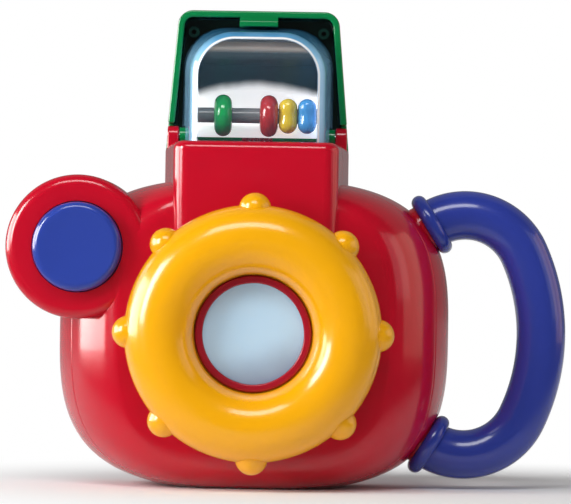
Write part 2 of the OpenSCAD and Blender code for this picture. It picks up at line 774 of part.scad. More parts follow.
// Outline of the lid seen from the front, as wide as the tower is at each place when closed
function lid_outline(t) = [for (p = tower_plan(t, t, 0)) [p.x, hinge_y - p.y]];

module flash_lid() color(green) in_frame() difference() {
    union() {
        difference() {
            flash_plate(lid_front, lid_back) polygon(lid_outline(0));
            flash_plate(lid_front - over, plate_front) polygon(lid_outline(lid_rim));
            // Room for the ears and the tower's rear wall
            flash_plate(lid_front - over, plate_front) translate([-big / 2, ear_room - big]) square(big);
        }
        // Knuckle and its web, in two stretches with the spring between them
        for (side = [-1, 1]) mirror([side < 0 ? 1 : 0, 0, 0]) {
            rod_x(hinge_y, hinge_z, knuckle_r, knuckle_from, knuckle_half);
            flash_across(knuckle_from, knuckle_half) polygon([[0, knuckle_web[0]],
                [plate_front + seat_in, knuckle_web[0]], [plate_front + seat_in, knuckle_web[1]],
                [0, knuckle_web[1]]]);
        }
        // Catch: a block on the rim with a prong that drops into the tower
        flash_across(-catch_half, catch_half) polygon([[-catch_reach, catch_low],
            [-catch_reach, catch_low + catch_t], [lid_front, catch_low + catch_t],
            [lid_front, lid_top - lid_rim / 2], [plate_front + seat_in, lid_top - lid_rim / 2],
            [plate_front + seat_in, window_top + catch_head], [over, window_top + catch_head],
            [over, catch_low]]);
        // Screw bosses in the upper corners
        for (side = [-1, 1]) rod_y(side * corner_boss.x, hinge_z + corner_boss.y, corner_boss_r,
            hinge_y + over, hinge_y + plate_front + seat_in);
    }
    for (side = [-1, 1]) rod_y(side * corner_boss.x, hinge_z + corner_boss.y, corner_hole_r, hinge_y - over,
        hinge_y + plate_front);
    rod_x(hinge_y, hinge_z, pin_r + pin_play, -big / 2, big / 2);
    // Notch that the lever's nose enters
    translate([-catch_half - over, hinge_y + post_top - hinge_z - nose_t - notch_gap,
        hinge_z + catch_low - over])
        cube([over + nose_depth + notch_gap, nose_t + 2 * notch_gap, catch_t + 2 * over]);
}

// Front outline of the window: straight sides, round upper corners and a straight foot
function window_outline(half, top, low, r) = concat([[half, low]], arc(half - r, top - r, r, 0, 90, 8),
    arc(r - half, top - r, r, 90, 180, 8), [[-half, low]]);

// Outline of the window at distance d in front of its base, thinned by t
function window_ring(d, t) = let (deep = window_deep + plate_front - t,
        share = d / deep,
        soft = window_soft * edge_curve(max(0, 1 - (deep - d) / window_soft_deep), 2),
        half = window_half - t - window_draft * share - soft,
        top = window_top - t - window_top_draft * share - soft)
    [for (p = window_outline(half, top, t - window_drop, max(window_least_r, window_corner - t - soft)))
        [p.x, hinge_y + plate_front - d, hinge_z + p.y]];

// Whole form of the window, thinned by t, from its face back to a distance in front of its base
module window_form(t, start) {
    deep = window_deep + plate_front - t;
    depths = concat([for (share = [0, 0.07, 0.3, 0.6, 1]) deep - window_soft_deep * share], [start]);
    loft([for (d = depths) window_ring(d, t)]);
}

module flash_window() color([0.75, 0.88, 0.95, 0.45]) in_frame() difference() {
    window_form(0, run_gap / 2);
    window_form(window_wall, -over);
    flash_plate(-knuckle_r - swing_gap, plate_front + over) translate([-big / 2, knuckle_r + swing_gap - big])
        square([big, big]);
}

// Bent sheet behind the beads, with a hood over the knuckles and a cheek at each end, inside the window
module flash_reflector() color(silver) in_frame() {
    back = plate_front - sheet_t;
    bend_r = 17;
    bend_d = back - bend_r;
    bend_w = 12.4;
    bend_end = 80;
    cheek_low = 1.5;
    difference() {
        intersection() {
            window_form(window_wall + run_gap, -over);
            union() {
                flash_across(-cheek_half - sheet_t / 2, cheek_half + sheet_t / 2) polygon(concat(
                    [[back, hood_r]], arc(bend_d, bend_w, bend_r, 0, bend_end, 10),
                    arc(bend_d, bend_w, bend_r - sheet_t, bend_end, 0, 10),
                    [[back - sheet_t, hood_r + sheet_t]], arc(0, 0, hood_r + sheet_t, 90, 180, 8),
                    [[-hood_r - sheet_t, -knuckle_r], [-hood_r, -knuckle_r]],
                    arc(0, 0, hood_r, 180, 90, 8)));
                for (side = [-1, 1]) mirror([side < 0 ? 1 : 0, 0, 0])
                    flash_across(cheek_half, cheek_half + sheet_t) polygon(concat([[back, hood_r]],
                        arc(bend_d, bend_w, bend_r, 0, bend_end, 10),
                        [[bend_d - cheek_low, bend_w], [bend_d - cheek_low, cheek_low], [-hood_r, cheek_low],
                            [-hood_r, hood_r]]));
            }
        }
        rod_x(hinge_y - rod_forward, hinge_z + rod_up, rod_r + fit_gap, -big / 2, big / 2);
    }
}

module bead_rod() color([0.6, 0.6, 0.6]) in_frame()
    rod_x(hinge_y - rod_forward, hinge_z + rod_up, rod_r, -cheek_half - sheet_t, cheek_half + sheet_t);

// Round disc on the rod with a full-round rim, which may have hollows around it
module bead(x, lobes = 0) in_frame() translate([x - bead_t / 2, hinge_y - rod_forward, hinge_z + rod_up])
    rotate([0, 90, 0]) difference() {
        rotate_extrude() polygon(concat([[0, 0]],
            arc(bead_r - bead_t / 2, bead_t / 2, bead_t / 2, -90, 90, 12), [[0, bead_t]]));
        translate([0, 0, -over]) cylinder(h = bead_t + 2 * over, r = rod_r + run_gap);
        if (lobes > 0) for (i = [0:lobes - 1]) rotate(360 * i / lobes - 90)
            translate([bead_r + bead_t / 2 - lobe_depth, 0, -over])
                cylinder(h = bead_t + 2 * over, r = bead_t / 2);
    }

module bead_green() color([0.01, 0.63, 0.3]) bead(-bead_loose);
module bead_red() color([0.6, 0.13, 0.16]) bead(bead_last - 2 * bead_pitch);
module bead_yellow() color([0.82, 0.7, 0.27]) bead(bead_last - bead_pitch, bead_lobes);
module bead_blue() color([0.37, 0.7, 0.88]) bead(bead_last, bead_lobes);

module hinge_pin() color(steel) in_frame() rod_x(hinge_y, hinge_z, pin_r, -ear_in - ear_t, ear_in + ear_t);

// Points along the middle of the spring's wire
function spring_path() = let (count = spring_turns * spring_steps)
    [for (i = [0:count]) let (a = 360 * i / spring_steps)
        [spring_span * (i / count - 0.5), spring_r * cos(a), spring_r * sin(a)]];

// Least gap between one turn and the next, measured on those points
spring_gap = let (path = spring_path())
    min([for (i = [0:len(path) - 1 - spring_steps], k = [-2:2]) let (j = i + spring_steps + k)
        if (j < len(path)) norm(path[i] - path[j])]) - 2 * wire_r;
echo(spring_gap = spring_gap);

module flash_spring() color(steel) in_frame() {
    path = spring_path();
    loft([for (i = [0:len(path) - 1]) let (a = 360 * i / spring_steps)
        [for (k = [0:wire_sides - 1]) let (b = 360 * k / wire_sides)
            [path[i].x + wire_r * sin(b), hinge_y + path[i].y + wire_r * cos(b) * cos(a),
                hinge_z + path[i].z + wire_r * cos(b) * sin(a)]]]);
}

// Rings of the handle's tube around one bend, from one angle to another
function bend_rings(x, up, path_r, from, to, steps, r, last) = [for (i = [0:steps - (last ? 0 : 1)])
    let (a = from + (to - from) * i / steps)
    [for (k = [0:handle_sides - 1]) let (b = 360 * k / handle_sides, out = path_r + r * cos(b))
        [x + out * cos(a), handle_y + r * sin(b), lens_z + up + out * sin(a)]]];

// Tube of radius r through the handle's three bends, lengthened at both ends by an angle
module handle_tube(r, extra) {
    end = 90 + handle_slope + extra;
    loft(concat(
        bend_rings(handle_corner_x, handle_corner_up, handle_corner_r, end, handle_joint, 9, r, false),
        bend_rings(handle_long_x, 0, handle_long_r, handle_joint, -handle_joint, 8, r, false),
        bend_rings(handle_corner_x, -handle_corner_up, handle_corner_r, -handle_joint, -end, 9, r, true)));
}

module handle() color(blue) in_frame() difference() {
    union() {
        handle_tube(handle_r, 0);
        // Collars and spigots
        for (side = [-1, 1]) at_handle_end(side) {
            rotate_extrude() polygon(concat([[0, -collar_w / 2]],
                arc(collar_r - collar_w / 2, 0, collar_w / 2, -90, 90, 10), [[0, collar_w / 2]]));
            translate([0, 0, -spigot_l]) cylinder(h = spigot_l, r = spigot_r);
        }
    }
    handle_tube(handle_r - handle_wall, bore_past);
    for (side = [-1, 1]) at_handle_end(side) translate([0, 0, -spigot_l - over])
        cylinder(h = spigot_l + over, r = spigot_r - spigot_wall);
}

front_shell();
rear_shell();
shell_screws();
lens_ring();
lens_bezel();
lens_mirror();
click_pawl();
shutter_button();
squeaker_bellows();
squeaker_reed();
release_lever();
lever_screw();
flash_lid();
flash_window();
flash_reflector();
bead_rod();
bead_green();
bead_red();
bead_yellow();
bead_blue();
hinge_pin();
flash_spring();
handle();
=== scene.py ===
"""Toy camera: visual pieces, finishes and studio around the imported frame.

Lengths are millimetres in the classes' fields and metres in every mesh. Depths are measured from the seam
between the two shells, and at() moves them into the frame.
"""
import logging
import math
from contextlib import contextmanager
from dataclasses import dataclass
from enum import Enum
from typing import Callable, Iterator, Sequence

import bpy
from mathutils import Matrix, Vector


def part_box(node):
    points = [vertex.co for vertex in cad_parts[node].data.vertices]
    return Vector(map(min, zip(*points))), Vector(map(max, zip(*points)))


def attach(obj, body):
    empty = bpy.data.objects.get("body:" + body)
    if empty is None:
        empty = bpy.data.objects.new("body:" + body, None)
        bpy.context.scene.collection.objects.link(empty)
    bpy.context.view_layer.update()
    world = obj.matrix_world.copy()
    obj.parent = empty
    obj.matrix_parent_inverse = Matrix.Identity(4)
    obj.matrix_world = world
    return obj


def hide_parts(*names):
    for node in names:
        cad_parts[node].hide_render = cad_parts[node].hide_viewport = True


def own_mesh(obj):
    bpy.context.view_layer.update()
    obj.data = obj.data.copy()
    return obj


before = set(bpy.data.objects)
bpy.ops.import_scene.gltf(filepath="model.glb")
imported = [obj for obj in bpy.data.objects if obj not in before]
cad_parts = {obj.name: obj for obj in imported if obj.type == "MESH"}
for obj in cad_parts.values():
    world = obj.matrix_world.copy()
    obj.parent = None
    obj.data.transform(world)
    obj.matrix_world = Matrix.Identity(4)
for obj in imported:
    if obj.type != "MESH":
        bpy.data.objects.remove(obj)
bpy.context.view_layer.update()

LOG = logging.getLogger("toy_camera")
MM = 0.001
IMAGE_W = 571
MERGE = 1e-6
WHITE_LIGHT = (1.0, 1.0, 1.0, 1.0)
NO_LIGHT = (0.0, 0.0, 0.0, 1.0)
Outline = list[tuple[float, float]]
Row = list[Vector]
SEAM_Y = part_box("front_shell")[1][1] / MM


def at(x: float, y: float, z: float) -> Vector:
    """Returns a point, given in millimetres from the seam, in the frame's metres."""
    return Vector((x, y + SEAM_Y, z)) * MM


def arc(x: float, y: float, r: float, start: float, end: float, steps: int = 10) -> Outline:
    """Gives the points of an arc.

    Args:
        x: First coordinate of the centre.
        y: Second coordinate of the centre.
        r: Radius.
        start: First angle in degrees.
        end: Last angle in degrees.
        steps: Number of chords.

    Returns:
        The points, both ends among them.
    """
    turns = [math.radians(start + (end - start) * i / steps) for i in range(steps + 1)]
    return [(x + r * math.cos(a), y + r * math.sin(a)) for a in turns]


def rounded(corners: Sequence[tuple[float, float, float]], steps: int = 6) -> Outline:
    """Rounds the corners of a closed outline.

    Args:
        corners: Each corner's two coordinates and its radius.
        steps: Chords in each rounding.

    Returns:
        The outline's points.
    """
    points: Outline = []
    count = len(corners)
    for i, (x, y, r) in enumerate(corners):
        here = Vector((x, y))
        if r <= 0:
            points.append((x, y))
            continue
        back = (Vector(corners[i - 1][:2]) - here).normalized()
        ahead = (Vector(corners[(i + 1) % count][:2]) - here).normalized()
        half = back.angle(ahead) / 2
        centre = here + (back + ahead).normalized() * (r / math.sin(half))
        first = here + back * (r / math.tan(half)) - centre
        last = here + ahead * (r / math.tan(half)) - centre
        sweep = first.angle_signed(last)
        for k in range(steps + 1):
            turned = Matrix.Rotation(-sweep * k / steps, 2) @ first
            points.append(tuple(centre + turned))
    return points


def deselect() -> None:
    """Deselects everything, so that the next operator acts on one piece only."""
    bpy.ops.object.select_all(action="DESELECT")


class Cut(Enum):
    """Ways in which one solid acts on another."""

    TAKE = "DIFFERENCE"
    ADD = "UNION"
    KEEP = "INTERSECT"


class Axis(Enum):
    """Axes that a piece is turned about."""

    X = (1.0, 0.0, 0.0)
    Y = (0.0, 1.0, 0.0)
    Z = (0.0, 0.0, 1.0)


class Workpiece:
    """A mesh on the bench, shaped with Blender's own operators."""

    def __init__(self, obj: bpy.types.Object) -> None:
        """Takes an object onto the bench."""
        self.obj = obj

    @classmethod
    def loop(cls, name: str, points: Sequence[Vector]) -> "Workpiece":
        """Starts from a circle whose vertices are moved onto a closed outline.

        Args:
            name: Name of the new object.
            points: The outline's points in metres.

        Returns:
            The new workpiece, a bare loop of edges.
        """
        deselect()
        bpy.ops.mesh.primitive_circle_add(vertices=len(points), fill_type="NOTHING")
        return cls._named(name, points)

    @classmethod
    def wrap(cls, name: str, rows: Sequence[Row], caps: bool = False) -> "Workpiece":
        """Wraps a grid onto rows of points, closing seams and poles.

        Args:
            name: Name of the new object.
            rows: Rows of equal length, in metres.
            caps: Whether the open ends are filled.

        Returns:
            The new workpiece.
        """
        deselect()
        bpy.ops.mesh.primitive_grid_add(x_subdivisions=len(rows[0]) - 1, y_subdivisions=len(rows) - 1)
        piece = cls._named(name, [point for row in rows for point in row])
        with piece.editing():
            bpy.ops.mesh.remove_doubles(threshold=MERGE)
            if caps:
                bpy.ops.mesh.select_all(action="DESELECT")
                bpy.ops.mesh.select_non_manifold()
                bpy.ops.mesh.fill_holes(sides=0)
        piece.outward()
        return piece

    @classmethod
    def turned(cls, name: str, profile: Outline, axis: Axis, foot: Vector, steps: int = 96) -> "Workpiece":
        """Turns a closed profile about an axis.

        Args:
            name: Name of the new object.
            profile: Radius and distance along the axis, in millimetres.
            axis: Axis of the turning.
            foot: Point on the axis from which distances are measured, in metres.
            steps: Number of steps in a full turn.

        Returns:
            The new workpiece, a closed solid.
        """
        along = Vector(axis.value)
        out = Vector((0.0, 0.0, 1.0)) if axis is not Axis.Z else Vector((1.0, 0.0, 0.0))
        points = [foot + (out * r + along * d) * MM for r, d in profile]
        piece = cls.loop(name, points)
        with piece.editing():
            bpy.ops.mesh.spin(steps=steps, angle=2 * math.pi, center=foot, axis=along)
            bpy.ops.mesh.select_all(action="SELECT")
            bpy.ops.mesh.remove_doubles(threshold=MERGE)
            bpy.ops.mesh.dissolve_degenerate(threshold=MERGE)
        piece.outward()
        return piece

    @classmethod
    def slab(cls, name: str, points: Sequence[Vector], shift: Vector) -> "Workpiece":
        """Fills an outline and extrudes it into a solid.

        Args:
            name: Name of the new object.
            points: The outline in metres.
            shift: Direction and length of the extrusion in metres.

        Returns:
            The new workpiece, a closed solid.
        """
        piece = cls.loop(name, points)
        with piece.editing():
            bpy.ops.mesh.edge_face_add()
            bpy.ops.mesh.extrude_region_move(TRANSFORM_OT_translate={"value": shift})
        piece.outward()
        return piece

    @classmethod
    def block(cls, name: str, low: Vector, high: Vector) -> "Workpiece":
        """Makes a plain block between two corners, as a tool or the start of a piece."""
        corners = [Vector((low.x, low.y, low.z)), Vector((high.x, low.y, low.z)),
                   Vector((high.x, high.y, low.z)), Vector((low.x, high.y, low.z))]
        return cls.slab(name, corners, Vector((0, 0, high.z - low.z)))

    @classmethod
    def _named(cls, name: str, points: Sequence[Vector]) -> "Workpiece":
        """Names the primitive just added and moves its vertices onto points."""
        obj = bpy.context.object
        obj.name = name
        obj.data.name = name
        obj.data.vertices.foreach_set("co", [c for point in points for c in point])
        obj.data.update()
        return cls(obj)

    @contextmanager
    def editing(self, kind: str = "VERT", everything: bool = True) -> Iterator[None]:
        """Opens edit mode on this piece alone.

        Args:
            kind: VERT, EDGE or FACE, what is selected.
            everything: Whether all of the mesh starts selected.
        """
        self.select()
        bpy.ops.object.mode_set(mode="EDIT")
        bpy.ops.mesh.select_mode(type=kind)
        bpy.ops.mesh.select_all(action="SELECT" if everything else "DESELECT")
        try:
            yield
        finally:
            bpy.ops.object.mode_set(mode="OBJECT")

    def select(self) -> None:
        """Makes this piece the only selected and the active one."""
        deselect()
        self.obj.select_set(True)
        bpy.context.view_layer.objects.active = self.obj

    def outward(self) -> None:
        """Turns every face outwards."""
        with self.editing("FACE"):
            bpy.ops.mesh.normals_make_consistent(inside=False)

    def pick_edges(self, test: Callable[[Vector, Vector], bool]) -> None:
        """Selects the edges whose two ends pass a test, in object mode."""
        mesh = self.obj.data
        for part in (mesh.vertices, mesh.edges, mesh.polygons):
            part.foreach_set("select", [False] * len(part))
        for edge in mesh.edges:
            a, b = (mesh.vertices[i].co for i in edge.vertices)
            edge.select = test(a, b)

    def bevel_edges(self, test: Callable[[Vector, Vector], bool], width: float, segments: int) -> None:
        """Rounds the edges that pass a test.

        Args:
            test: Says for an edge's two ends whether it is rounded.
            width: Width of the rounding in millimetres.
            segments: Number of faces across it.
        """
        self.select()
        bpy.ops.object.mode_set(mode="EDIT")
        bpy.ops.mesh.select_mode(type="EDGE")
        bpy.ops.object.mode_set(mode="OBJECT")
        self.pick_edges(test)
        bpy.ops.object.mode_set(mode="EDIT")
        bpy.ops.mesh.bevel(offset=width * MM, segments=segments, profile=0.5, clamp_overlap=True)
        bpy.ops.object.mode_set(mode="OBJECT")

    def modify(self, kind: str, **settings: object) -> None:
        """Adds a modifier with its settings and applies it."""
        self.select()
        modifier = self.obj.modifiers.new(kind.lower(), kind)
        for key, value in settings.items():
            setattr(modifier, key, value)
        bpy.ops.object.modifier_apply(modifier=modifier.name)

    def soften(self, width: float, segments: int = 3, angle: float = 40.0) -> None:
        """Rounds every edge sharper than an angle by a width in millimetres."""
        self.modify("BEVEL", width=width * MM, segments=segments, limit_method="ANGLE",
                    angle_limit=math.radians(angle), use_clamp_overlap=True, miter_outer="MITER_ARC")

    def cut(self, tool: "Workpiece", way: Cut) -> None:
        """Applies another solid to this one and clears it away.

        Args:
            tool: The solid that acts.
            way: Whether it is taken away, added or kept in common.
        """
        self.modify("BOOLEAN", object=tool.obj, operation=way.value, solver="EXACT")
        mesh = tool.obj.data
        bpy.data.objects.remove(tool.obj)
        bpy.data.meshes.remove(mesh)

    def absorb(self, others: Sequence["Workpiece"]) -> None:
        """Joins other meshes into this one without cutting them."""
        self.select()
        for other in others:
            other.obj.select_set(True)
        bpy.ops.object.join()

    def twin(self, name: str) -> "Workpiece":
        """Returns a copy with a mesh of its own."""
        copy = self.obj.copy()
        copy.data = self.obj.data.copy()
        copy.name = name
        copy.data.name = name
        bpy.context.collection.objects.link(copy)
        return Workpiece(copy)

    def shade(self, angle: float = 32.0) -> None:
        """Shades smoothly between the edges sharper than an angle."""
        self.select()
        bpy.ops.object.shade_smooth_by_angle(angle=math.radians(angle))
        self.modify("WEIGHTED_NORMAL", keep_sharp=True)

    def place(self, body: str, nodes: Sequence[str], finish: "Finish") -> bpy.types.Object:
        """Dresses the piece and hands it to the frame.

        Args:
            body: CAD body that it rides on.
            nodes: CAD nodes that it stands for.
            finish: Finish that it takes.

        Returns:
            The finished object.
        """
        self.obj.data.materials.clear()
        self.obj.data.materials.append(finish.material())
        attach(self.obj, body)
        if nodes:
            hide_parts(*nodes)
        LOG.info("%s rides on %s, %d faces", self.obj.name, body, len(self.obj.data.polygons))
        return self.obj


class Wire:
    """A shader socket that takes part in Python arithmetic."""

    def __init__(self, graph: "Graph", socket: bpy.types.NodeSocket) -> None:
        """Wraps one output socket of a node tree."""
        self.graph = graph
        self.socket = socket

    def _math(self, operation: str, first: object, second: object) -> "Wire":
        """Adds a Math node for one operation."""
        return self.graph.node("ShaderNodeMath", {"operation": operation}, {0: first, 1: second})

    def __add__(self, other: object) -> "Wire":
        """Adds."""
        return self._math("ADD", self, other)

    __radd__ = __add__

    def __sub__(self, other: object) -> "Wire":
        """Subtracts."""
        return self._math("SUBTRACT", self, other)

    def __rsub__(self, other: object) -> "Wire":
        """Subtracts from a number."""
        return self._math("SUBTRACT", other, self)

    def __mul__(self, other: object) -> "Wire":
        """Multiplies."""
        return self._math("MULTIPLY", self, other)

    __rmul__ = __mul__

    def __abs__(self) -> "Wire":
        """Takes the absolute value."""
        return self._math("ABSOLUTE", self, 0.0)

    def larger(self, other: object) -> "Wire":
        """Takes the larger of two values."""
        return self._math("MAXIMUM", self, other)

    def root(self) -> "Wire":
        """Takes the square root."""
        return self._math("SQRT", self, 0.0)


class Graph:
    """A node tree that is filled from Python."""

    def __init__(self, tree: bpy.types.NodeTree) -> None:
        """Takes over a node tree and empties it."""
        self.tree = tree
        self.tree.nodes.clear()

    def node(self, kind: str, settings: dict[str, object] | None = None,
             inputs: dict[object, object] | None = None, output: object = 0) -> Wire | None:
        """Adds a node.

        Args:
            kind: Node type.
            settings: Its settings.
            inputs: Values or wires of its sockets.
            output: Name or index of the socket that is returned.

        Returns:
            The output socket, wrapped, or None for a node without outputs.
        """
        made = self.tree.nodes.new(kind)
        for key, value in (settings or {}).items():
            setattr(made, key, value)
        for key, value in (inputs or {}).items():
            if isinstance(value, Wire):
                self.tree.links.new(value.socket, made.inputs[key])
            else:
                made.inputs[key].default_value = value
        return Wire(self, made.outputs[output]) if made.outputs else None

    def shader(self, **inputs: object) -> Wire:
        """Adds a surface shader.

        Args:
            inputs: Values or wires of its sockets, whose names are written with underscores.

        Returns:
            The shader's output.
        """
        named = {}
        for key, value in inputs.items():
            words = [word if word.isupper() else word.capitalize() for word in key.split("_")]
            named[" ".join(words)] = value
        return self.node("ShaderNodeBsdfPrincipled", None, named)

    def layer(self, share: Wire, below: Wire, above: Wire) -> Wire:
        """Lays one shader over another by a share from 0 to 1."""
        return self.node("ShaderNodeMixShader", None, {0: share, 1: below, 2: above})

    def place(self) -> Wire:
        """Returns the piece's own coordinates, in metres."""
        return self.node("ShaderNodeTexCoord", output="Object")

    def parts(self, vector: Wire) -> tuple[Wire, Wire, Wire]:
        """Returns a vector's three coordinates."""
        return tuple(self.node("ShaderNodeSeparateXYZ", None, {0: vector}, i) for i in range(3))

    def noise(self, scale: float, detail: float = 2.0,
              stretch: tuple[float, float, float] = (1, 1, 1)) -> Wire:
        """Adds noise over the piece, from 0 to 1.

        Args:
            scale: Features in a metre.
            detail: Octaves of detail.
            stretch: Factors along the three axes.

        Returns:
            The noise value.
        """
        where = self.node("ShaderNodeMapping", None, {"Vector": self.place(), "Scale": stretch})
        return self.node("ShaderNodeTexNoise", None, {"Vector": where, "Scale": scale, "Detail": detail})

    def blend(self, share: object, first: object, second: object) -> Wire:
        """Mixes two colours by a share from 0 to 1."""
        return self.node("ShaderNodeMix", {"data_type": "RGBA"}, {0: share, 6: first, 7: second}, 2)

    def band(self, value: Wire, start: float, end: float) -> Wire:
        """Returns 0 before start, 1 after end and a smooth rise between them."""
        return self.node("ShaderNodeMapRange", {"interpolation_type": "SMOOTHSTEP"},
                         {"Value": value, "From Min": start, "From Max": end})

    def bump(self, height: Wire, strength: float, distance: float) -> Wire:
        """Turns a height into a normal."""
        return self.node("ShaderNodeBump", None,
                         {"Height": height, "Strength": strength, "Distance": distance})


Colour = tuple[float, float, float]


def paint(red: float, green: float, blue: float, gain: float = 1.0) -> tuple[float, float, float, float]:
    """Turns a screen colour from 0 to 255 into the shader's linear colour, times a gain."""
    parts = [c / 255 for c in (red, green, blue)]
    linear = [c / 12.92 if c <= 0.04045 else ((c + 0.055) / 1.055) ** 2.4 for c in parts]
    return (*(min(1.0, c * gain) for c in linear), 1.0)


MADE: dict[str, bpy.types.Material] = {}


@dataclass(frozen=True)
class Finish:
    """A surface finish, made once and shared by the pieces that wear it."""

    name: str
    slot: str

    def material(self) -> bpy.types.Material:
        """Returns the finish's material, making it at the first call."""
        if self.name not in MADE:
            made = bpy.data.materials.new(self.name)
            made.use_nodes = True
            graph = Graph(made.node_tree)
            graph.node("ShaderNodeOutputMaterial", None, {"Surface": self.surface(graph)})
            MADE[self.name] = made
        return MADE[self.name]

    def surface(self, graph: Graph) -> Wire:
        """Returns the shader of the finish, made in a tree."""
        raise NotImplementedError


@dataclass(frozen=True)
class MouldedPlastic(Finish):
    """Polished injection-moulded plastic with faint flow clouds, mould texture and handling scuffs."""

    colour: Colour
    rough: float = 0.17
    coat: float = 0.3
    cloud: float = 0.07
    peel: float = 0.03
    specular: float = 0.5

    def tone(self, graph: Graph) -> Wire:
        """Returns the plastic's colour with its flow clouds."""
        deep = paint(*self.colour, gain=1.0 - self.cloud)
        light = paint(*self.colour, gain=1.0 + self.cloud)
        return graph.blend(graph.noise(38.0, 3.0), deep, light)

    def surface(self, graph: Graph) -> Wire:
        """Returns the shader of the finish, made in a tree."""
        marks = graph.noise(420.0, 4.0, (1.0, 1.0, 0.35))
        scuffs = graph.band(graph.noise(95.0, 6.0, (0.4, 1.0, 1.6)), 0.6, 0.72)
        skin = graph.noise(700.0, 1.0)
        rough = self.rough + 0.08 * (marks - 0.5) + 0.05 * scuffs
        return graph.shader(base_color=self.tone(graph), roughness=rough, coat_weight=self.coat,
                            coat_roughness=0.05, IOR=1.5, specular_IOR_level=self.specular,
                            normal=graph.bump(skin, self.peel, 0.0002))


@dataclass(frozen=True)
class TrayPlastic(MouldedPlastic):
    """Moulded plastic of the flash tray, bright on its rim, with painted shade that darkens it nearly to
    black inside the tray.
    """

    # Near-black green of the painted shade inside the tray.
    inside: Colour = (10, 44, 38)
    foot: tuple[float, float] = (30.0, 108.3)
    top: tuple[float, float] = (26.0, 154.4)
    rim: float = 2.2
    depth: tuple[float, float] = (14.2, 20.6)

    def tone(self, graph: Graph) -> Wire:
        """Returns the plastic's colour, with painted shade darkening it inside the tray."""
        x, y, z = graph.parts(graph.place())
        (wide, low), (narrow, high) = self.foot, self.top
        slope = (wide - narrow) / (high - low)
        from_side = (wide + slope * low) * MM - slope * z - abs(x)
        start, end = 0.55 * self.rim * MM, 0.9 * self.rim * MM
        # Mask of the tray's inside, where shade is painted into the colour.
        painted_shade_mask = graph.band(from_side, start, end) * graph.band(high * MM - z, start, end)
        front, plate = (d * MM for d in self.depth)
        painted_shade_mask = painted_shade_mask * graph.band(y, front, front + MM) * (1 - graph.band(y, plate, plate + MM / 2))
        return graph.blend(painted_shade_mask, super().tone(graph), paint(*self.inside))


@dataclass(frozen=True)
class ClearPlastic(Finish):
    """Clear styrene: water-clear over its flat face, milky pale blue where its flanks turn away, with a thin
    white painted highlight at the flank's inner edge.
    """

    tint: Colour
    deep_tint: Colour
    corner: tuple[float, float]
    edge: tuple[float, float]
    # Span of the thin white painted highlight at the flank's inner edge.
    painted_edge_highlight: tuple[float, float]
    crown: tuple[float, float]
    clear: float = 0.025
    milk: float = 0.86

    def surface(self, graph: Graph) -> Wire:
        """Returns the shader of the finish, made in a tree."""
        x, _, z = graph.parts(graph.place())
        out_x = (abs(x) - self.corner[0] * MM).larger(0.0)
        out_z = (z - self.corner[1] * MM).larger(0.0)
        away = (out_x * out_x + out_z * out_z).root()
        flank = graph.band(away, self.edge[0] * MM, self.edge[1] * MM)
        # A thin white band at the flank's inner edge is a painted highlight.
        start, end = (d * MM for d in self.painted_edge_highlight)
        painted_edge_highlight = graph.band(away, start, start + 0.3 * MM) * (1 - graph.band(away, end - 0.3 * MM, end))
        streaks = graph.noise(160.0, 3.0, (1.0, 1.0, 0.12))
        crown = graph.band(z, self.crown[0] * MM, self.crown[1] * MM)
        tone = graph.blend(crown * (0.6 + 0.6 * streaks), paint(*self.tint), paint(*self.deep_tint))
        return graph.shader(base_color=graph.blend(painted_edge_highlight, tone, WHITE_LIGHT),
                            roughness=0.04 + 0.06 * graph.noise(300.0, 3.0), IOR=1.5,
                            alpha=self.clear + (self.milk - self.clear) * flank, coat_weight=0.5,
                            coat_roughness=0.03, normal=graph.bump(graph.noise(90.0), 0.02, 0.0004))


@dataclass(frozen=True)
class SilverFilm(Finish):
    """Silvered plastic film, slightly milky, with a faint cloudiness; its colour runs from a darker low tone
    to a lighter pale-blue top, a painted reflection of the studio.
    """

    # Darker low tone and lighter top tone of the painted reflection.
    colour: Colour
    shade: Colour
    painted_reflection_span: tuple[float, float]
    metal: float = 0.35
    rough: float = 0.12

    def surface(self, graph: Graph) -> Wire:
        """Returns the shader of the finish, made in a tree."""
        x, _, z = graph.parts(graph.place())
        clouds = graph.noise(60.0, 3.0)
        # Painted reflection: the colour turns from the low tone to the lighter top tone with height.
        turn = graph.band(z - 0.35 * x + 0.006 * (clouds - 0.5), self.painted_reflection_span[0] * MM, self.painted_reflection_span[1] * MM)
        base = graph.blend(turn, paint(*self.colour), paint(*self.shade))
        return graph.shader(base_color=base, metallic=self.metal, roughness=self.rough + 0.06 * clouds,
                            normal=graph.bump(graph.noise(140.0), 0.03, 0.0004))


@dataclass(frozen=True)
class TroughFilm(Finish):
    """Silvered film of the flash trough: a white foot that is a painted reflection and glows as painted
    light, a painted dark slate reflection in its bend, and brown-grey at its lip.
    """

    foot: Colour
    painted_dark_reflection: Colour
    lip: Colour
    painted_dark_reflection_z: tuple[float, float]
    lip_z: tuple[float, float]
    # Strength of the painted glow of the white foot, which is no lamp.
    gleam: float = 0.62
    arch: float = 8.0

    def surface(self, graph: Graph) -> Wire:
        """Returns the shader of the finish, made in a tree."""
        x, _, z = graph.parts(graph.place())
        grain = graph.noise(120.0, 4.0, (1.0, 1.0, 0.2))
        up = z + self.arch * x * x + 0.002 * (grain - 0.5)
        bend = graph.band(up, self.painted_dark_reflection_z[0] * MM, self.painted_dark_reflection_z[1] * MM)
        lip = graph.band(z, self.lip_z[0] * MM, self.lip_z[1] * MM)
        # The white foot is a painted reflection that also glows as painted light, and the slate bend is a
        # painted dark reflection.
        lower = graph.blend(bend, paint(*self.foot), paint(*self.painted_dark_reflection))
        glow = graph.blend(bend, paint(*self.foot), NO_LIGHT)
        return graph.shader(base_color=graph.blend(lip, lower, paint(*self.lip)), metallic=0.12 + 0.4 * bend,
                            roughness=0.16 + 0.1 * grain, emission_strength=self.gleam, emission_color=glow,
                            normal=graph.bump(graph.noise(160.0), 0.04, 0.0004))


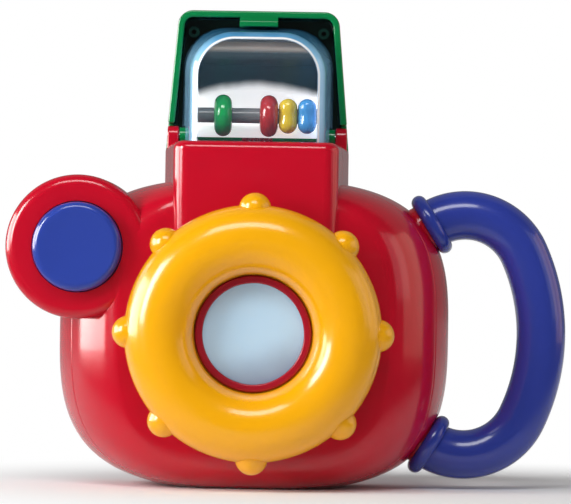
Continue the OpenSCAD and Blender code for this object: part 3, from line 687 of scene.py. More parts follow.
@dataclass(frozen=True)
class DrawnSteel(Finish):
    """Bright zinc-plated steel with fine drawing lines."""

    colour: Colour = (190, 192, 196)
    rough: float = 0.26

    def surface(self, graph: Graph) -> Wire:
        """Returns the shader of the finish, made in a tree."""
        lines = graph.noise(900.0, 3.0, (0.1, 1.0, 1.0))
        base = graph.blend(graph.noise(120.0), paint(*self.colour, gain=0.88), paint(*self.colour))
        return graph.shader(base_color=base, metallic=1.0, roughness=self.rough + 0.16 * (lines - 0.5),
                            normal=graph.bump(lines, 0.06, 0.0002))


@dataclass(frozen=True)
class SoftVinyl(Finish):
    """Matt soft vinyl with a dusty bloom."""

    colour: Colour = (222, 214, 196)

    def surface(self, graph: Graph) -> Wire:
        """Returns the shader of the finish, made in a tree."""
        bloom = graph.noise(180.0, 4.0)
        base = graph.blend(bloom, paint(*self.colour, gain=0.85), paint(*self.colour, gain=1.04))
        return graph.shader(base_color=base, roughness=0.5 + 0.2 * bloom, IOR=1.48,
                            normal=graph.bump(graph.noise(1100.0), 0.12, 0.0002))


RED = MouldedPlastic("red_shell_plastic", "red_plastic", (192, 6, 36))
# The bezel's darker red is painted shade from the lens ring's hole, which lies over it.
SHADED_BEZEL_RED = MouldedPlastic("red_bezel_plastic", "red_plastic", (162, 14, 38), rough=0.24, coat=0.15)
YELLOW = MouldedPlastic("yellow_ring_plastic", "yellow_plastic", (243, 171, 0), rough=0.2, cloud=0.04)
BLUE = MouldedPlastic("blue_plastic", "blue_plastic", (44, 66, 158), rough=0.18)
HANDLE_BLUE = MouldedPlastic("blue_handle_plastic", "blue_plastic", (44, 60, 154), rough=0.22, coat=0.5)
# The tray finish paints shade inside the tray.
GREEN = TrayPlastic("green_lid_plastic", "green_plastic", (2, 128, 68), rough=0.2)
WHITE = MouldedPlastic("white_inner_plastic", "white_plastic", (226, 226, 220), rough=0.35, coat=0.1)
GREY = MouldedPlastic("grey_rod_plastic", "grey_plastic", (120, 122, 124), rough=0.2)
GREEN_BEAD = MouldedPlastic("green_bead", "bead_green", (2, 162, 74), rough=0.12, coat=0.6)
RED_BEAD = MouldedPlastic("red_bead", "bead_red", (182, 34, 36), rough=0.12, coat=0.6, cloud=0.25)
YELLOW_BEAD = MouldedPlastic("yellow_bead", "bead_yellow", (236, 200, 44), rough=0.12, coat=0.6, cloud=0.25)
BLUE_BEAD = MouldedPlastic("blue_bead", "bead_blue", (76, 158, 228), rough=0.12, coat=0.6, cloud=0.2)
# The mirror's colour is a painted reflection, darker low and pale blue at the top.
MIRROR = SilverFilm("lens_mirror_film", "mirror_film", (142, 158, 186), (196, 230, 255), (30.0, 48.0), 0.12)
# The trough's white foot and slate band are painted reflections, and the foot also glows as painted light.
TROUGH = TroughFilm("trough_film", "mirror_film", (250, 250, 252), (30, 44, 50), (166, 154, 144),
                    (128.5, 132.5), (140.6, 142.4))
# (11.8, 12.8) places the window's thin white painted highlight.
CLEAR = ClearPlastic("clear_window_plastic", "clear_plastic", (160, 220, 255), (56, 140, 190), (7.4, 132.5),
                     (11.7, 12.2), (11.8, 12.8), (138.0, 147.0))
STEEL = DrawnSteel("plated_steel", "steel")
VINYL = SoftVinyl("bellows_vinyl", "soft_pvc")


def rod(name: str, axis: Axis, foot: Vector, r: float, start: float, end: float,
        steps: int = 48) -> Workpiece:
    """Turns a plain rod, as a tool or as part of a piece.

    Args:
        name: Name of the new object.
        axis: Axis of the rod.
        foot: Point on the axis from which distances are measured, in metres.
        r: Radius in millimetres.
        start: Distance of its first end.
        end: Distance of its last end.
        steps: Sides around it.

    Returns:
        The rod.
    """
    return Workpiece.turned(name, [(0.0, start), (r, start), (r, end), (0.0, end)], axis, foot, steps)


@dataclass
class Housing:
    """The two red shells with their tower, pod, flash pocket, lens barrel and hinge ears."""

    lens_z: float = 50.0
    half_w: float = 63.0
    up: float = 49.5
    down: float = 51.0
    square: float = 3.1
    front: float = 16.0
    rear: float = 40.0
    widest: float = 14.0
    front_round: tuple[float, float] = (20.0, 12.0)
    front_power: tuple[float, float] = (1.5, 3.4)
    rear_round: tuple[float, float] = (16.0, 14.0)
    rear_power: tuple[float, float] = (2.2, 2.6)
    wall: float = 2.5
    seam_edge: float = 0.35
    tower_base: float = 60.0
    tower_top: float = 111.0
    tower_front: float = 18.5
    tower_rear: float = 27.6
    tower_half: tuple[float, float] = (26.0, 30.0)
    tower_corner: float = 5.0
    tower_edge: float = 2.8
    pocket_floor: float = 90.0
    pod: tuple[float, float] = (-56.5, 76.7)
    pod_r: float = 23.0
    pod_front: float = 15.8
    pod_rear: float = 16.0
    pod_edge: float = 3.5
    button_hole: float = 14.6
    barrel: tuple[float, float, float] = (14.0, 17.0, 18.5)
    barrel_steps: tuple[float, float, float] = (-24.25, -21.3, -14.75)
    post_slot: tuple[tuple[float, float, float], ...] = ((-12.4, -15.4, 86.0), (-6.5, -12.0, 92.0))
    hinge: tuple[float, float] = (22.5, 113.4)
    ear_r: float = 3.2
    ear_in: float = 25.55
    ear_t: float = 3.7
    ear_low: float = 107.0
    screws: tuple[float, float, float] = (38.0, 28.0, 65.0)
    well_r: float = 3.6
    well_end: float = 6.5
    post_wall: float = 1.4
    post_short: float = 1.2
    sound_holes: tuple[int, float, float] = (6, 2.4, 0.7)
    socket: tuple[float, float, float] = (7.8, -9.1, -2.0)
    seat: tuple[float, float, float] = (10.75, -2.45, 18.0)
    collar: tuple[float, float, float] = (57.13, 14.0, 35.65)
    collar_slope: float = 31.8

    def inset(self, y: float, thin: float, side: int) -> float:
        """Gives how far the outline draws in at a depth.

        Args:
            y: Depth from the seam.
            thin: Wall by which the form is thinned.
            side: 0 sideways, 1 up and down.

        Returns:
            The inset in millimetres.
        """
        if y < self.widest:
            share = (self.widest - y) / (self.widest + self.front - thin)
            full, power = self.front_round[side], self.front_power[side]
        else:
            share = (y - self.widest) / (self.rear - thin - self.widest)
            full, power = self.rear_round[side], self.rear_power[side]
        rise = 1 - (1 - min(1.0, share) ** power) ** (1 / power)
        return (full - thin / 2) * rise

    def section(self, y: float, thin: float, share: float, around: int) -> Row:
        """Gives one closed outline of the body at a depth, scaled towards its middle by a share."""
        side = (self.half_w - thin - self.inset(y, thin, 0)) * share
        lift = (self.up - thin - self.inset(y, thin, 1)) * share
        drop = (self.down - thin - self.inset(y, thin, 1)) * share
        points: Row = []
        for i in range(around + 1):
            a = 2 * math.pi * (i % around) / around
            x = side * math.copysign(abs(math.cos(a)) ** (2 / self.square), math.cos(a))
            z = (lift if math.sin(a) > 0 else drop) * abs(math.sin(a)) ** (2 / self.square)
            points.append(at(x, y, max(self.lens_z + math.copysign(z, math.sin(a)), thin)))
        return points

    def pillow(self, name: str, thin: float, around: int, deep: int) -> Workpiece:
        """Wraps the body's soft block form.

        Args:
            name: Name of the new object.
            thin: Wall by which the form is thinned.
            around: Points in each outline.
            deep: Outlines in each of the two roundings.

        Returns:
            The closed form.
        """
        ahead = self.widest + self.front - thin
        behind = self.rear - thin - self.widest
        steps = [math.pi / 2 * i / deep for i in range(deep + 1)]
        flat = (0.0, 0.4, 0.75, 0.93)
        stations = [(thin - self.front, share) for share in flat]
        for a in reversed(steps):
            stations.append((self.widest - ahead * math.sin(a) ** (2 / self.front_power[0]), 1.0))
        for a in steps[1:]:
            stations.append((self.widest + behind * math.sin(a) ** (2 / self.rear_power[0]), 1.0))
        stations += [(self.rear - thin, share) for share in reversed(flat)]
        return Workpiece.wrap(name, [self.section(y, thin, share, around) for y, share in stations])

    def tower_plan(self, side_in: float, front_in: float, rear_in: float) -> Outline:
        """Gives the tower's outline seen from above, moved inwards."""
        depth = self.tower_rear + self.tower_front
        slant = (self.tower_half[1] - self.tower_half[0]) / depth
        front = front_in - self.tower_front
        rear = self.tower_rear - rear_in
        halves = [self.tower_half[1] - (self.tower_rear - y) * slant - side_in for y in (front, rear)]
        r = max(1.0, self.tower_corner - side_in)
        near, far = halves
        return rounded([(far, rear, 0), (near, front, r), (-near, front, r), (-far, rear, 0)], 10)

    def tower_prism(self, name: str, plan: Outline, low: float, high: float) -> Workpiece:
        """Raises a plan of the tower between two heights."""
        return Workpiece.slab(name, [at(x, y, low) for x, y in plan], Vector((0, 0, (high - low) * MM)))

    def outer_form(self) -> Workpiece:
        """Builds the outside of both shells in one solid."""
        body = self.pillow("housing", 0.0, 224, 30)
        tower = self.tower_prism("tower", self.tower_plan(0, 0, 0), self.tower_base, self.tower_top)
        rim = (self.tower_top - 0.01) * MM
        tower.bevel_edges(lambda a, b: a.z > rim and b.z > rim, self.tower_edge, 6)
        body.cut(tower, Cut.ADD)
        edge = self.pod_edge
        profile = [(0.0, -self.pod_front)]
        profile += arc(self.pod_r - edge, edge - self.pod_front, edge, -90, 0, 8)
        profile += arc(self.pod_r - edge, self.pod_rear - edge, edge, 0, 90, 8) + [(0.0, self.pod_rear)]
        body.cut(Workpiece.turned("pod", profile, Axis.Y, self.pod_foot(), 128), Cut.ADD)
        return body

    def pod_foot(self) -> Vector:
        """Returns the point on the pod's axis at the seam."""
        return at(self.pod[0], 0, self.pod[1])

    def cavity(self) -> Workpiece:
        """Builds the hollow inside both shells, which leaves the pocket's floor and walls standing."""
        hollow = self.pillow("cavity", self.wall, 96, 10)
        floor = self.pocket_floor - self.wall
        block = self.tower_prism("pocket_block", self.tower_plan(0, 0, 0), floor, self.tower_top + 9)
        hollow.cut(block, Cut.TAKE)
        room = rod("pod_room", Axis.Y, self.pod_foot(), self.pod_r - self.wall, self.wall - self.pod_front,
                   self.pod_rear - self.wall)
        hollow.cut(room, Cut.ADD)
        return hollow

    def half(self, body: Workpiece, name: str, keep_front: bool) -> Workpiece:
        """Cuts one shell from the whole form and eases its edge along the seam."""
        shell = body.twin(name)
        with shell.editing("FACE"):
            bpy.ops.mesh.bisect(plane_co=at(0, 0, 0), plane_no=(0, 1, 0), use_fill=True,
                                clear_inner=not keep_front, clear_outer=keep_front)
        seam = SEAM_Y * MM
        near = 1e-6
        shell.bevel_edges(lambda a, b: abs(a.y - seam) < near and abs(b.y - seam) < near, self.seam_edge, 2)
        return shell

    def pocket(self) -> Workpiece:
        """Builds the well that takes the closed flash head."""
        plan = self.tower_plan(self.wall, 3.0, self.wall)
        return self.tower_prism("pocket", plan, self.pocket_floor, self.tower_top + 5)

    def front_shell(self, body: Workpiece, hollow: Workpiece) -> Workpiece:
        """Builds the front shell with its lens barrel and button hole."""
        shell = self.half(body, "front_shell_skin", True)
        shell.cut(hollow.twin("front_hollow"), Cut.TAKE)
        shell.cut(self.pocket(), Cut.TAKE)
        lens = at(0, 0, self.lens_z)
        bore, spindle, shoulder = self.barrel
        tip, step, root = self.barrel_steps
        profile = [(bore, tip), (spindle, tip), (spindle, step), (shoulder, step), (shoulder, root),
                   (bore, root)]
        shell.cut(Workpiece.turned("barrel", profile, Axis.Y, lens), Cut.ADD)
        shell.cut(rod("bore", Axis.Y, lens, bore, -26.0, 2.0), Cut.TAKE)
        shell.cut(rod("button_hole", Axis.Y, self.pod_foot(), self.button_hole, -20.0, -12.0, 96), Cut.TAKE)
        shell.cut(Workpiece.block("post_slot", *(at(*corner) for corner in self.post_slot)), Cut.TAKE)
        return shell

    def handle_end(self, side: int) -> Matrix:
        """Returns the frame of one handle end, whose +Z points out of the body."""
        x, y, up = self.collar
        turn = Matrix.Rotation(math.radians(90 - side * self.collar_slope), 4, "Y")
        return Matrix.Translation(at(x, y, self.lens_z + side * up)) @ turn

    def ears(self) -> list[Workpiece]:
        """Builds the two hinge ears on the tower's side walls."""
        y, z = self.hinge
        outline = arc(y, z, self.ear_r, 0, 180, 16) + [(y - self.ear_r, self.ear_low),
                                                          (y + self.ear_r, self.ear_low)]
        made = []
        for side in (-1, 1):
            points = [at(side * self.ear_in, d, u) for d, u in outline]
            ear = Workpiece.slab("ear", points, Vector((side * self.ear_t * MM, 0, 0)))
            ear.soften(0.5, 3)
            made.append(ear)
        return made

    def rear_shell(self, body: Workpiece, hollow: Workpiece) -> Workpiece:
        """Builds the rear shell with its ears, screw wells, handle seats and sound holes."""
        shell = self.half(body, "rear_shell_skin", False)
        shell.cut(hollow.twin("rear_hollow"), Cut.TAKE)
        shell.cut(self.pocket(), Cut.TAKE)
        for ear in self.ears():
            shell.cut(ear, Cut.ADD)
        x, low, high = self.screws
        spots = [at(side * x, 0, z) for side in (-1, 1) for z in (low, high)]
        post_r = self.well_r + self.post_wall
        posts = [rod("post", Axis.Y, spot, post_r, 0.0, self.rear - self.post_short) for spot in spots]
        posts[0].absorb(posts[1:])
        shell.cut(posts[0], Cut.ADD)
        tools = [rod("well", Axis.Y, spot, self.well_r, self.well_end, self.rear + 5) for spot in spots]
        px, pz = self.pod
        count, path, hole_r = self.sound_holes
        for i in range(count):
            a = math.radians(360 / count * i)
            hole = at(px + path * math.cos(a), 0, pz + path * math.sin(a))
            tools.append(rod("sound_hole", Axis.Y, hole, hole_r, 10.0, 20.0, 20))
        bosses = []
        for side in (-1, 1):
            frame_of_end = self.handle_end(side)
            boss = rod("boss", Axis.Z, Vector(), *self.socket)
            seat = rod("seat", Axis.Z, Vector(), *self.seat)
            for piece, batch in ((boss, bosses), (seat, tools)):
                piece.obj.data.transform(frame_of_end)
                batch.append(piece)
        bosses[0].absorb(bosses[1:])
        shell.cut(bosses[0], Cut.ADD)
        tools[0].absorb(tools[1:])
        shell.cut(tools[0], Cut.TAKE)
        return shell

    def build(self) -> None:
        """Builds, dresses and places both shells."""
        body = self.outer_form()
        hollow = self.cavity()
        for shell, node in ((self.front_shell(body, hollow), "front_shell"),
                            (self.rear_shell(body, hollow), "rear_shell")):
            shell.shade()
            shell.place("camera_body", [node], RED)
        for spare in (body, hollow):
            bpy.data.objects.remove(spare.obj)


@dataclass
class LensGroup:
    """The turning yellow ring with its knobs, the red bezel and the crowned mirror."""

    axis_z: float = 50.0
    path: float = 29.75
    tube: float = 11.0
    wall: float = 2.5
    middle: float = -27.5
    rear: float = -19.2
    web: tuple[float, float, float] = (17.25, -24.0, -21.5)
    knobs: int = 8
    knob_r: float = 5.2
    knob_path: float = 39.4
    bezel_r: float = 18.5
    bezel_rear: float = -24.25
    hub: tuple[float, float, float] = (11.5, 13.95, -13.5)
    mirror_r: float = 16.0
    mirror_seat: float = -25.6
    mirror_t: float = 1.6
    crown: float = 0.8

    def foot(self) -> Vector:
        """Returns the point on the lens axis at the seam."""
        return at(0, 0, self.axis_z)

    def ring(self) -> Workpiece:
        """Builds the hollow round ring, its web and its knobs."""
        back = self.rear - self.middle
        inner = self.path - self.tube
        hollow = self.tube - self.wall
        web_r, web_front, web_rear = self.web
        profile = arc(self.path, self.middle, self.tube, math.degrees(math.asin(back / self.tube)), -180, 60)
        profile += [(inner, web_front), (web_r, web_front), (web_r, web_rear), (inner, web_rear),
                    (inner, self.rear), (inner + self.wall, self.rear)]
        profile += arc(self.path, self.middle, hollow, -180, math.degrees(math.asin(back / hollow)), 24)
        ring = Workpiece.turned("lens_ring_skin", profile, Axis.Y, self.foot(), 160)
        ball = arc(0, 0, self.knob_r, -90, 90, 18)
        seeds = []
        for i in range(self.knobs):
            turn = 2 * math.pi * i / self.knobs
            across, up = self.knob_path * math.sin(turn), self.knob_path * math.cos(turn)
            spot = at(across, self.middle, self.axis_z + up)
            seeds.append(Workpiece.turned("knob", ball, Axis.Y, spot, 32))
        seeds[0].absorb(seeds[1:])
        ring.cut(seeds[0], Cut.ADD)
        return ring

    def bezel(self) -> Workpiece:
        """Turns the flange that holds the ring, with the mirror's recess and its hub."""
        bore, hub_r, hub_rear = self.hub
        lip = self.mirror_r + 0.05
        corners = [(lip, self.middle, 0.5), (self.bezel_r, self.middle, 0.9),
                   (self.bezel_r, self.bezel_rear, 0.2), (hub_r, self.bezel_rear, 0), (hub_r, hub_rear, 0),
                   (bore, hub_rear, 0), (bore, self.mirror_seat, 0), (lip, self.mirror_seat, 0)]
        return Workpiece.turned("lens_bezel_skin", rounded(corners), Axis.Y, self.foot(), 128)

    def mirror(self) -> Workpiece:
        """Turns the crowned mirror disc."""
        swell = (self.mirror_r ** 2 + self.crown ** 2) / (2 * self.crown)
        tilt = math.degrees(math.asin(self.mirror_r / swell))
        profile = [(0.0, self.mirror_seat), (self.mirror_r, self.mirror_seat)]
        profile += arc(0, self.mirror_seat - self.mirror_t + swell, swell, tilt - 90, -90, 16)
        return Workpiece.turned("lens_mirror_skin", profile, Axis.Y, self.foot(), 128)

    def build(self) -> None:
        """Builds, dresses and places the lens pieces."""
        for piece, body, node, finish in ((self.ring(), "lens_ring", "lens_ring", YELLOW),
                                          (self.bezel(), "camera_body", "lens_bezel", SHADED_BEZEL_RED),
                                          (self.mirror(), "camera_body", "lens_mirror", MIRROR)):
            piece.shade()
            piece.place(body, [node], finish)


@dataclass
class ShutterButton:
    """The blue push button with its flange, hollow back and lever leg."""

    axis: tuple[float, float] = (-56.5, 76.7)
    r: float = 14.25
    front: float = -20.5
    edge: float = 2.4
    dish: float = 0.5
    flange_r: float = 16.0
    flange: tuple[float, float] = (-13.05, -11.05)
    wall: float = 2.0
    leg: tuple[float, float] = (-45.3, 80.0)
    leg_r: float = 2.0
    leg_end: float = 1.6

    def build(self) -> None:
        """Builds, dresses and places the button."""
        face = self.r - self.edge
        near, far = self.flange
        dished = [(face * i / 8, self.front + self.dish * (1 - (i / 8) ** 2)) for i in range(8)]
        profile = dished + arc(face, self.front + self.edge, self.edge, -90, 0, 10)
        inner, roof = self.r - self.wall, self.front + self.wall + self.dish
        profile += [(self.r, near), (self.flange_r, near), (self.flange_r, far), (inner, far), (inner, roof),
                    (0.0, roof)]
        foot = at(self.axis[0], 0, self.axis[1])
        button = Workpiece.turned("shutter_button_skin", profile, Axis.Y, foot, 128)
        leg = rod("leg", Axis.Y, at(self.leg[0], 0, self.leg[1]), self.leg_r, far - 1.0, self.leg_end, 32)
        button.cut(leg, Cut.ADD)
        button.shade()
        button.place("button", ["shutter_button"], BLUE)


@dataclass
class HandleLoop:
    """The blue D-shaped tube with a round collar and a spigot at each end."""

    axis_z: float = 50.0
    depth: float = 14.0
    tube: float = 7.9
    long_r: float = 63.6
    long_x: float = 29.5
    corner_r: float = 21.0
    corner: tuple[float, float] = (68.21, 17.8)
    slope: float = 31.8
    collar_r: float = 10.5
    collar_w: float = 4.9
    spigot_r: float = 6.2
    spigot_l: float = 14.0
    sides: int = 48

    def ring(self, x: float, up: float, path_r: float, turn: float) -> Row:
        """Gives one ring of the tube around a bend."""
        points: Row = []
        for k in range(self.sides + 1):
            b = 2 * math.pi * (k % self.sides) / self.sides
            out = path_r + self.tube * math.cos(b)
            points.append(at(x + out * math.cos(turn), self.depth + self.tube * math.sin(b),
                             self.axis_z + up + out * math.sin(turn)))
        return points

    def loop(self) -> Workpiece:
        """Wraps the tube through its three bends."""
        x, up = self.corner
        end = math.radians(90 + self.slope)
        joint = math.atan2(up, x - self.long_x)
        rows: list[Row] = []
        for i in range(40):
            rows.append(self.ring(x, up, self.corner_r, end + (joint - end) * i / 40))
        for i in range(36):
            rows.append(self.ring(self.long_x, 0.0, self.long_r, joint - 2 * joint * i / 36))
        for i in range(41):
            rows.append(self.ring(x, -up, self.corner_r, -joint + (joint - end) * i / 40))
        return Workpiece.wrap("handle_skin", rows, caps=True)

    def collar(self, place: Matrix) -> Workpiece:
        """Turns one round collar with its spigot and sets it on a handle end."""
        bead = self.collar_w / 2
        profile = [(0.0, -self.spigot_l), (self.spigot_r, -self.spigot_l), (self.spigot_r, -bead)]
        profile += arc(self.collar_r - bead, 0, bead, -90, 90, 18) + [(0.0, bead)]
        piece = Workpiece.turned("collar", profile, Axis.Z, Vector(), 64)
        piece.obj.data.transform(place)
        return piece

    def build(self, housing: Housing) -> None:
        """Builds, dresses and places the handle on the housing's seats."""
        handle = self.loop()
        for side in (-1, 1):
            handle.cut(self.collar(housing.handle_end(side)), Cut.ADD)
        handle.shade()
        handle.place("camera_body", ["handle"], HANDLE_BLUE)


@dataclass
class FlashHead:
    """The pop-up flash: green tray, clear window, silvered trough, rod and four beads."""

    hinge: tuple[float, float] = (22.5, 113.4)
    foot: float = -5.1
    top: float = 41.0
    half: tuple[float, float] = (26.0, 30.0)
    corner: float = 5.0
    front: float = -2.1
    back: float = 8.2
    plate: float = 5.8
    rim: float = 2.2
    ear_room: float = 4.1
    catch_half: float = 6.3
    catch_under: float = 0.3
    catch_t: float = 1.8
    catch_head: float = 1.2
    catch_reach: float = 9.0
    seat_in: float = 0.5
    notch: tuple[float, float] = (-5.0, -7.8)
    notch_in: float = -4.4
    boss: tuple[float, float] = (21.2, 34.0)
    boss_r: float = 1.8
    screw_hole_r: float = 0.8
    knuckle: tuple[float, float, float] = (2.8, 5.0, 25.3)
    web: tuple[float, float] = (-1.2, 2.2)
    window_half: float = 24.6
    window_top: float = 35.9
    window_deep: float = 25.8
    window_corner: float = 14.0
    window_draft: tuple[float, float] = (3.2, 2.8)
    window_drop: float = 2.2
    window_wall: float = 1.6
    window_soft: tuple[float, float] = (3.0, 4.2)
    knuckle_room: float = 3.2
    bend: tuple[float, float, float] = (-12.2, 14.8, 17.0)
    bend_end: float = 80.0
    cheek_lip: float = 1.5
    sheet: float = 1.0
    hood_r: float = 3.3
    cheek: float = 19.3
    rod_at: tuple[float, float] = (-9.6, 6.6)
    rod_r: float = 2.5
    bead_r: float = 6.8
    bead_t: float = 6.0
    lobe_depth: float = 0.2
    lobe_pinch: float = 0.45

    def spot(self, x: float, d: float, u: float) -> Vector:
        """Returns a point measured from the hinge axis: across, back and up."""
        return at(x, self.hinge[0] + d, self.hinge[1] + u)

    def slab(self, name: str, outline: Outline, start: float, end: float) -> Workpiece:
        """Carries a side outline of back and up across from one x to another."""
        points = [self.spot(start, d, u) for d, u in outline]
        return Workpiece.slab(name, points, Vector(((end - start) * MM, 0, 0)))

    def lid(self) -> Workpiece:
        """Builds the tray with its rim, catch, corner bosses and knuckles."""
        narrow, wide = self.half
        plan = rounded([(wide, self.foot, 0), (narrow, self.top, self.corner),
                        (-narrow, self.top, self.corner), (-wide, self.foot, 0)], 10)
        depth = (self.back - self.front) * MM
        points = [self.spot(x, self.back, u) for x, u in plan]
        lid = Workpiece.slab("flash_lid_skin", points, Vector((0, -depth, 0)))
        face = self.spot(0, self.front, 0).y + 1e-5
        for polygon in lid.obj.data.polygons:
            polygon.select = polygon.center.y < face
        lid.select()
        bpy.ops.object.mode_set(mode="EDIT")
        bpy.ops.mesh.select_mode(type="FACE")
        bpy.ops.mesh.inset(thickness=self.rim * MM)
        sink = Vector((0, (self.plate - self.front) * MM, 0))
        bpy.ops.mesh.extrude_region_move(TRANSFORM_OT_translate={"value": sink})
        bpy.ops.object.mode_set(mode="OBJECT")
        room = Workpiece.block("ear_room", self.spot(-60, self.front - 1, self.foot - 5),
                               self.spot(60, self.plate, self.ear_room))
        lid.cut(room, Cut.TAKE)
        lid.soften(0.6, 3)
        for part in self.lid_parts():
            lid.cut(part, Cut.ADD)
        feet = [self.spot(side * self.boss[0], 0, self.boss[1]) for side in (-1, 1)]
        holes = [rod("screw_hole", Axis.Y, foot, self.screw_hole_r, -2.0, 5.0, 24) for foot in feet]
        holes[0].absorb(holes[1:])
        lid.cut(holes[0], Cut.TAKE)
        return lid

    def lid_parts(self) -> list[Workpiece]:
        """Builds the catch, the bosses and the knuckles that stand on the tray."""
        low = self.window_top - self.catch_under
        high = low + self.catch_t
        over = self.window_top + self.catch_head
        inside = self.top - self.rim / 2
        tip, seat = -self.catch_reach, self.plate + self.seat_in
        outline = [(tip, low), (tip, high), (self.front, high), (self.front, inside), (seat, inside),
                   (seat, over), (1.0, over), (1.0, low)]
        catch = self.slab("catch", outline, -self.catch_half, self.catch_half)
        catch.soften(0.4, 2)
        back, ahead = self.notch
        outline = [(ahead, low - 1.0), (back, low - 1.0), (back, high + 1.0), (ahead, high + 1.0)]
        catch.cut(self.slab("nose_notch", outline, -self.catch_half - 1.0, self.notch_in), Cut.TAKE)
        parts = [catch]
        r, start, end = self.knuckle
        foot_u, head_u = self.web
        web = [(0.0, foot_u), (seat, foot_u), (seat, head_u), (0.0, head_u)]
        for side in (-1, 1):
            foot = self.spot(side * self.boss[0], 0, self.boss[1])
            parts.append(rod("boss", Axis.Y, foot, self.boss_r, 1.0, seat, 32))
            near, far = sorted((side * start, side * end))
            parts.append(rod("knuckle", Axis.X, self.spot(0, 0, 0), r, near, far, 40))
            parts.append(self.slab("web", web, near, far))
        return parts

    def window_row(self, d: float, thin: float, share: float = 1.0) -> Row:
        """Gives the window's outline at a distance in front of its base.

        Args:
            d: Distance from the base forwards.
            thin: Wall by which the form is thinned.
            share: Scale towards the middle of the face.

        Returns:
            The closed outline's points.
        """
        deep = self.window_deep - thin
        round_in, round_deep = self.window_soft
        turn = max(0.0, 1 - (deep - d) / round_deep)
        soft = round_in * (1 - math.sqrt(max(0.0, 1 - turn ** 2)))
        half = self.window_half - thin - self.window_draft[0] * d / deep - soft
        top = self.window_top - thin - self.window_draft[1] * d / deep - soft
        low = thin - self.window_drop
        r = max(4.0, self.window_corner - thin - soft)
        outline = [(half, low)] + arc(half - r, top - r, r, 0, 90, 20)
        outline += arc(r - half, top - r, r, 90, 180, 20) + [(-half, low), (half, low)]
        middle = (top + low) / 2
        return [self.spot(x * share, self.plate - d, middle + (u - middle) * share) for x, u in outline]

    def window_form(self, name: str, thin: float, start: float) -> Workpiece:
        """Wraps the window's form from its base to its face."""
        deep = self.window_deep - thin
        steps = [0.0, 0.02, 0.08, 0.2, 0.4, 0.65, 1.0]
        depths = [deep - self.window_soft[1] * s for s in steps]
        rows = [self.window_row(deep, thin, share) for share in (0.0, 0.6, 0.95)]
        rows += [self.window_row(d, thin) for d in depths + [deep / 2, start]]
        return Workpiece.wrap(name, rows, caps=True)

    def window(self) -> Workpiece:
        """Builds the clear bubble, open behind and relieved over the knuckles."""
        window = self.window_form("flash_window_skin", 0.0, 0.1)
        window.cut(self.window_form("window_room", self.window_wall, -1.0), Cut.TAKE)
        room = Workpiece.block("knuckle_room", self.spot(-60, -self.knuckle_room, -30),
                               self.spot(60, self.plate + 1, self.knuckle_room))
        window.cut(room, Cut.TAKE)
        return window

    def trough(self) -> Workpiece:
        """Builds the silvered trough behind the beads, with its two cheeks."""
        d, u, r = self.bend
        back = d + r
        sheet = self.sheet
        hood = self.hood_r
        outer = hood + sheet
        knuckle = self.knuckle[0]
        top = self.bend_end
        bow = [(back, hood)] + arc(d, u, r, 0, top, 24) + arc(d, u, r - sheet, top, 0, 24)
        bow += [(back - sheet, outer)] + arc(0, 0, outer, 90, 180, 16)
        bow += [(-outer, -knuckle), (-hood, -knuckle)] + arc(0, 0, hood, 180, 90, 16)
        trough = self.slab("flash_reflector_skin", bow, -self.cheek - sheet / 2, self.cheek + sheet / 2)
        lip, low = d - self.cheek_lip, self.cheek_lip
        side = [(back, hood)] + arc(d, u, r, 0, top, 24)
        side += [(lip, u), (lip, low), (-hood, low), (-hood, hood)]
        for start, end in ((self.cheek, self.cheek + sheet), (-self.cheek - sheet, -self.cheek)):
            trough.cut(self.slab("cheek", side, start, end), Cut.ADD)
        trough.cut(self.window_form("film_room", self.window_wall + 0.25, -1.0), Cut.KEEP)
        hole = rod("rod_hole", Axis.X, self.spot(0, *self.rod_at), self.rod_r + 0.05, -30.0, 30.0)
        trough.cut(hole, Cut.TAKE)
        return trough

    def rod(self) -> Workpiece:
        """Turns the bead rod with eased ends."""
        end = self.cheek + self.sheet
        profile = rounded([(0.0, -end, 0), (self.rod_r, -end, 0.4), (self.rod_r, end, 0.4), (0.0, end, 0)])
        return Workpiece.turned("bead_rod_skin", profile, Axis.X, self.spot(0, *self.rod_at), 48)

    def bead(self, name: str, x: float, lobes: int) -> Workpiece:
        """Turns one bead with a full-round rim.

        Args:
            name: Name of the new object.
            x: Place across.
            lobes: Number of swellings around the rim, or 0 for a plain one.

        Returns:
            The bead.
        """
        bore = self.rod_r + 0.25
        half = self.bead_t / 2
        profile = [(bore, -half)] + arc(self.bead_r - half, 0, half, -90, 90, 16) + [(bore, half)]
        foot = self.spot(x, *self.rod_at)
        bead = Workpiece.turned(name, profile, Axis.X, foot, 96)
        if lobes:
            for vertex in bead.obj.data.vertices:
                out = Vector((0, vertex.co.y - foot.y, vertex.co.z - foot.z))
                turn = math.atan2(out.z, -out.y)
                depth = (out.length / MM - bore) / (self.bead_r - bore)
                hollow = depth * (0.5 + 0.5 * math.cos(lobes * turn))
                vertex.co.x = foot.x + (vertex.co.x - foot.x) * (1 - self.lobe_pinch * hollow)
                vertex.co.y = foot.y + out.y * (1 - self.lobe_depth * hollow)
                vertex.co.z = foot.z + out.z * (1 - self.lobe_depth * hollow)
        return bead

    def build(self) -> None:
        """Builds, dresses and places the flash head."""
        for piece, node, finish in ((self.lid(), "flash_lid", GREEN),
                                    (self.window(), "flash_window", CLEAR),
                                    (self.trough(), "flash_reflector", TROUGH),
                                    (self.rod(), "bead_rod", GREY)):
            piece.shade()
            piece.place("flash", [node], finish)
        for node, x, lobes, finish in (("bead_green", -11.1, 0, GREEN_BEAD),
                                       ("bead_red", 3.7, 0, RED_BEAD),
                                       ("bead_yellow", 9.9, 4, YELLOW_BEAD),
                                       ("bead_blue", 16.1, 4, BLUE_BEAD)):
            bead = self.bead(node + "_skin", x, lobes)
            bead.shade()
            bead.place(node, [node], finish)


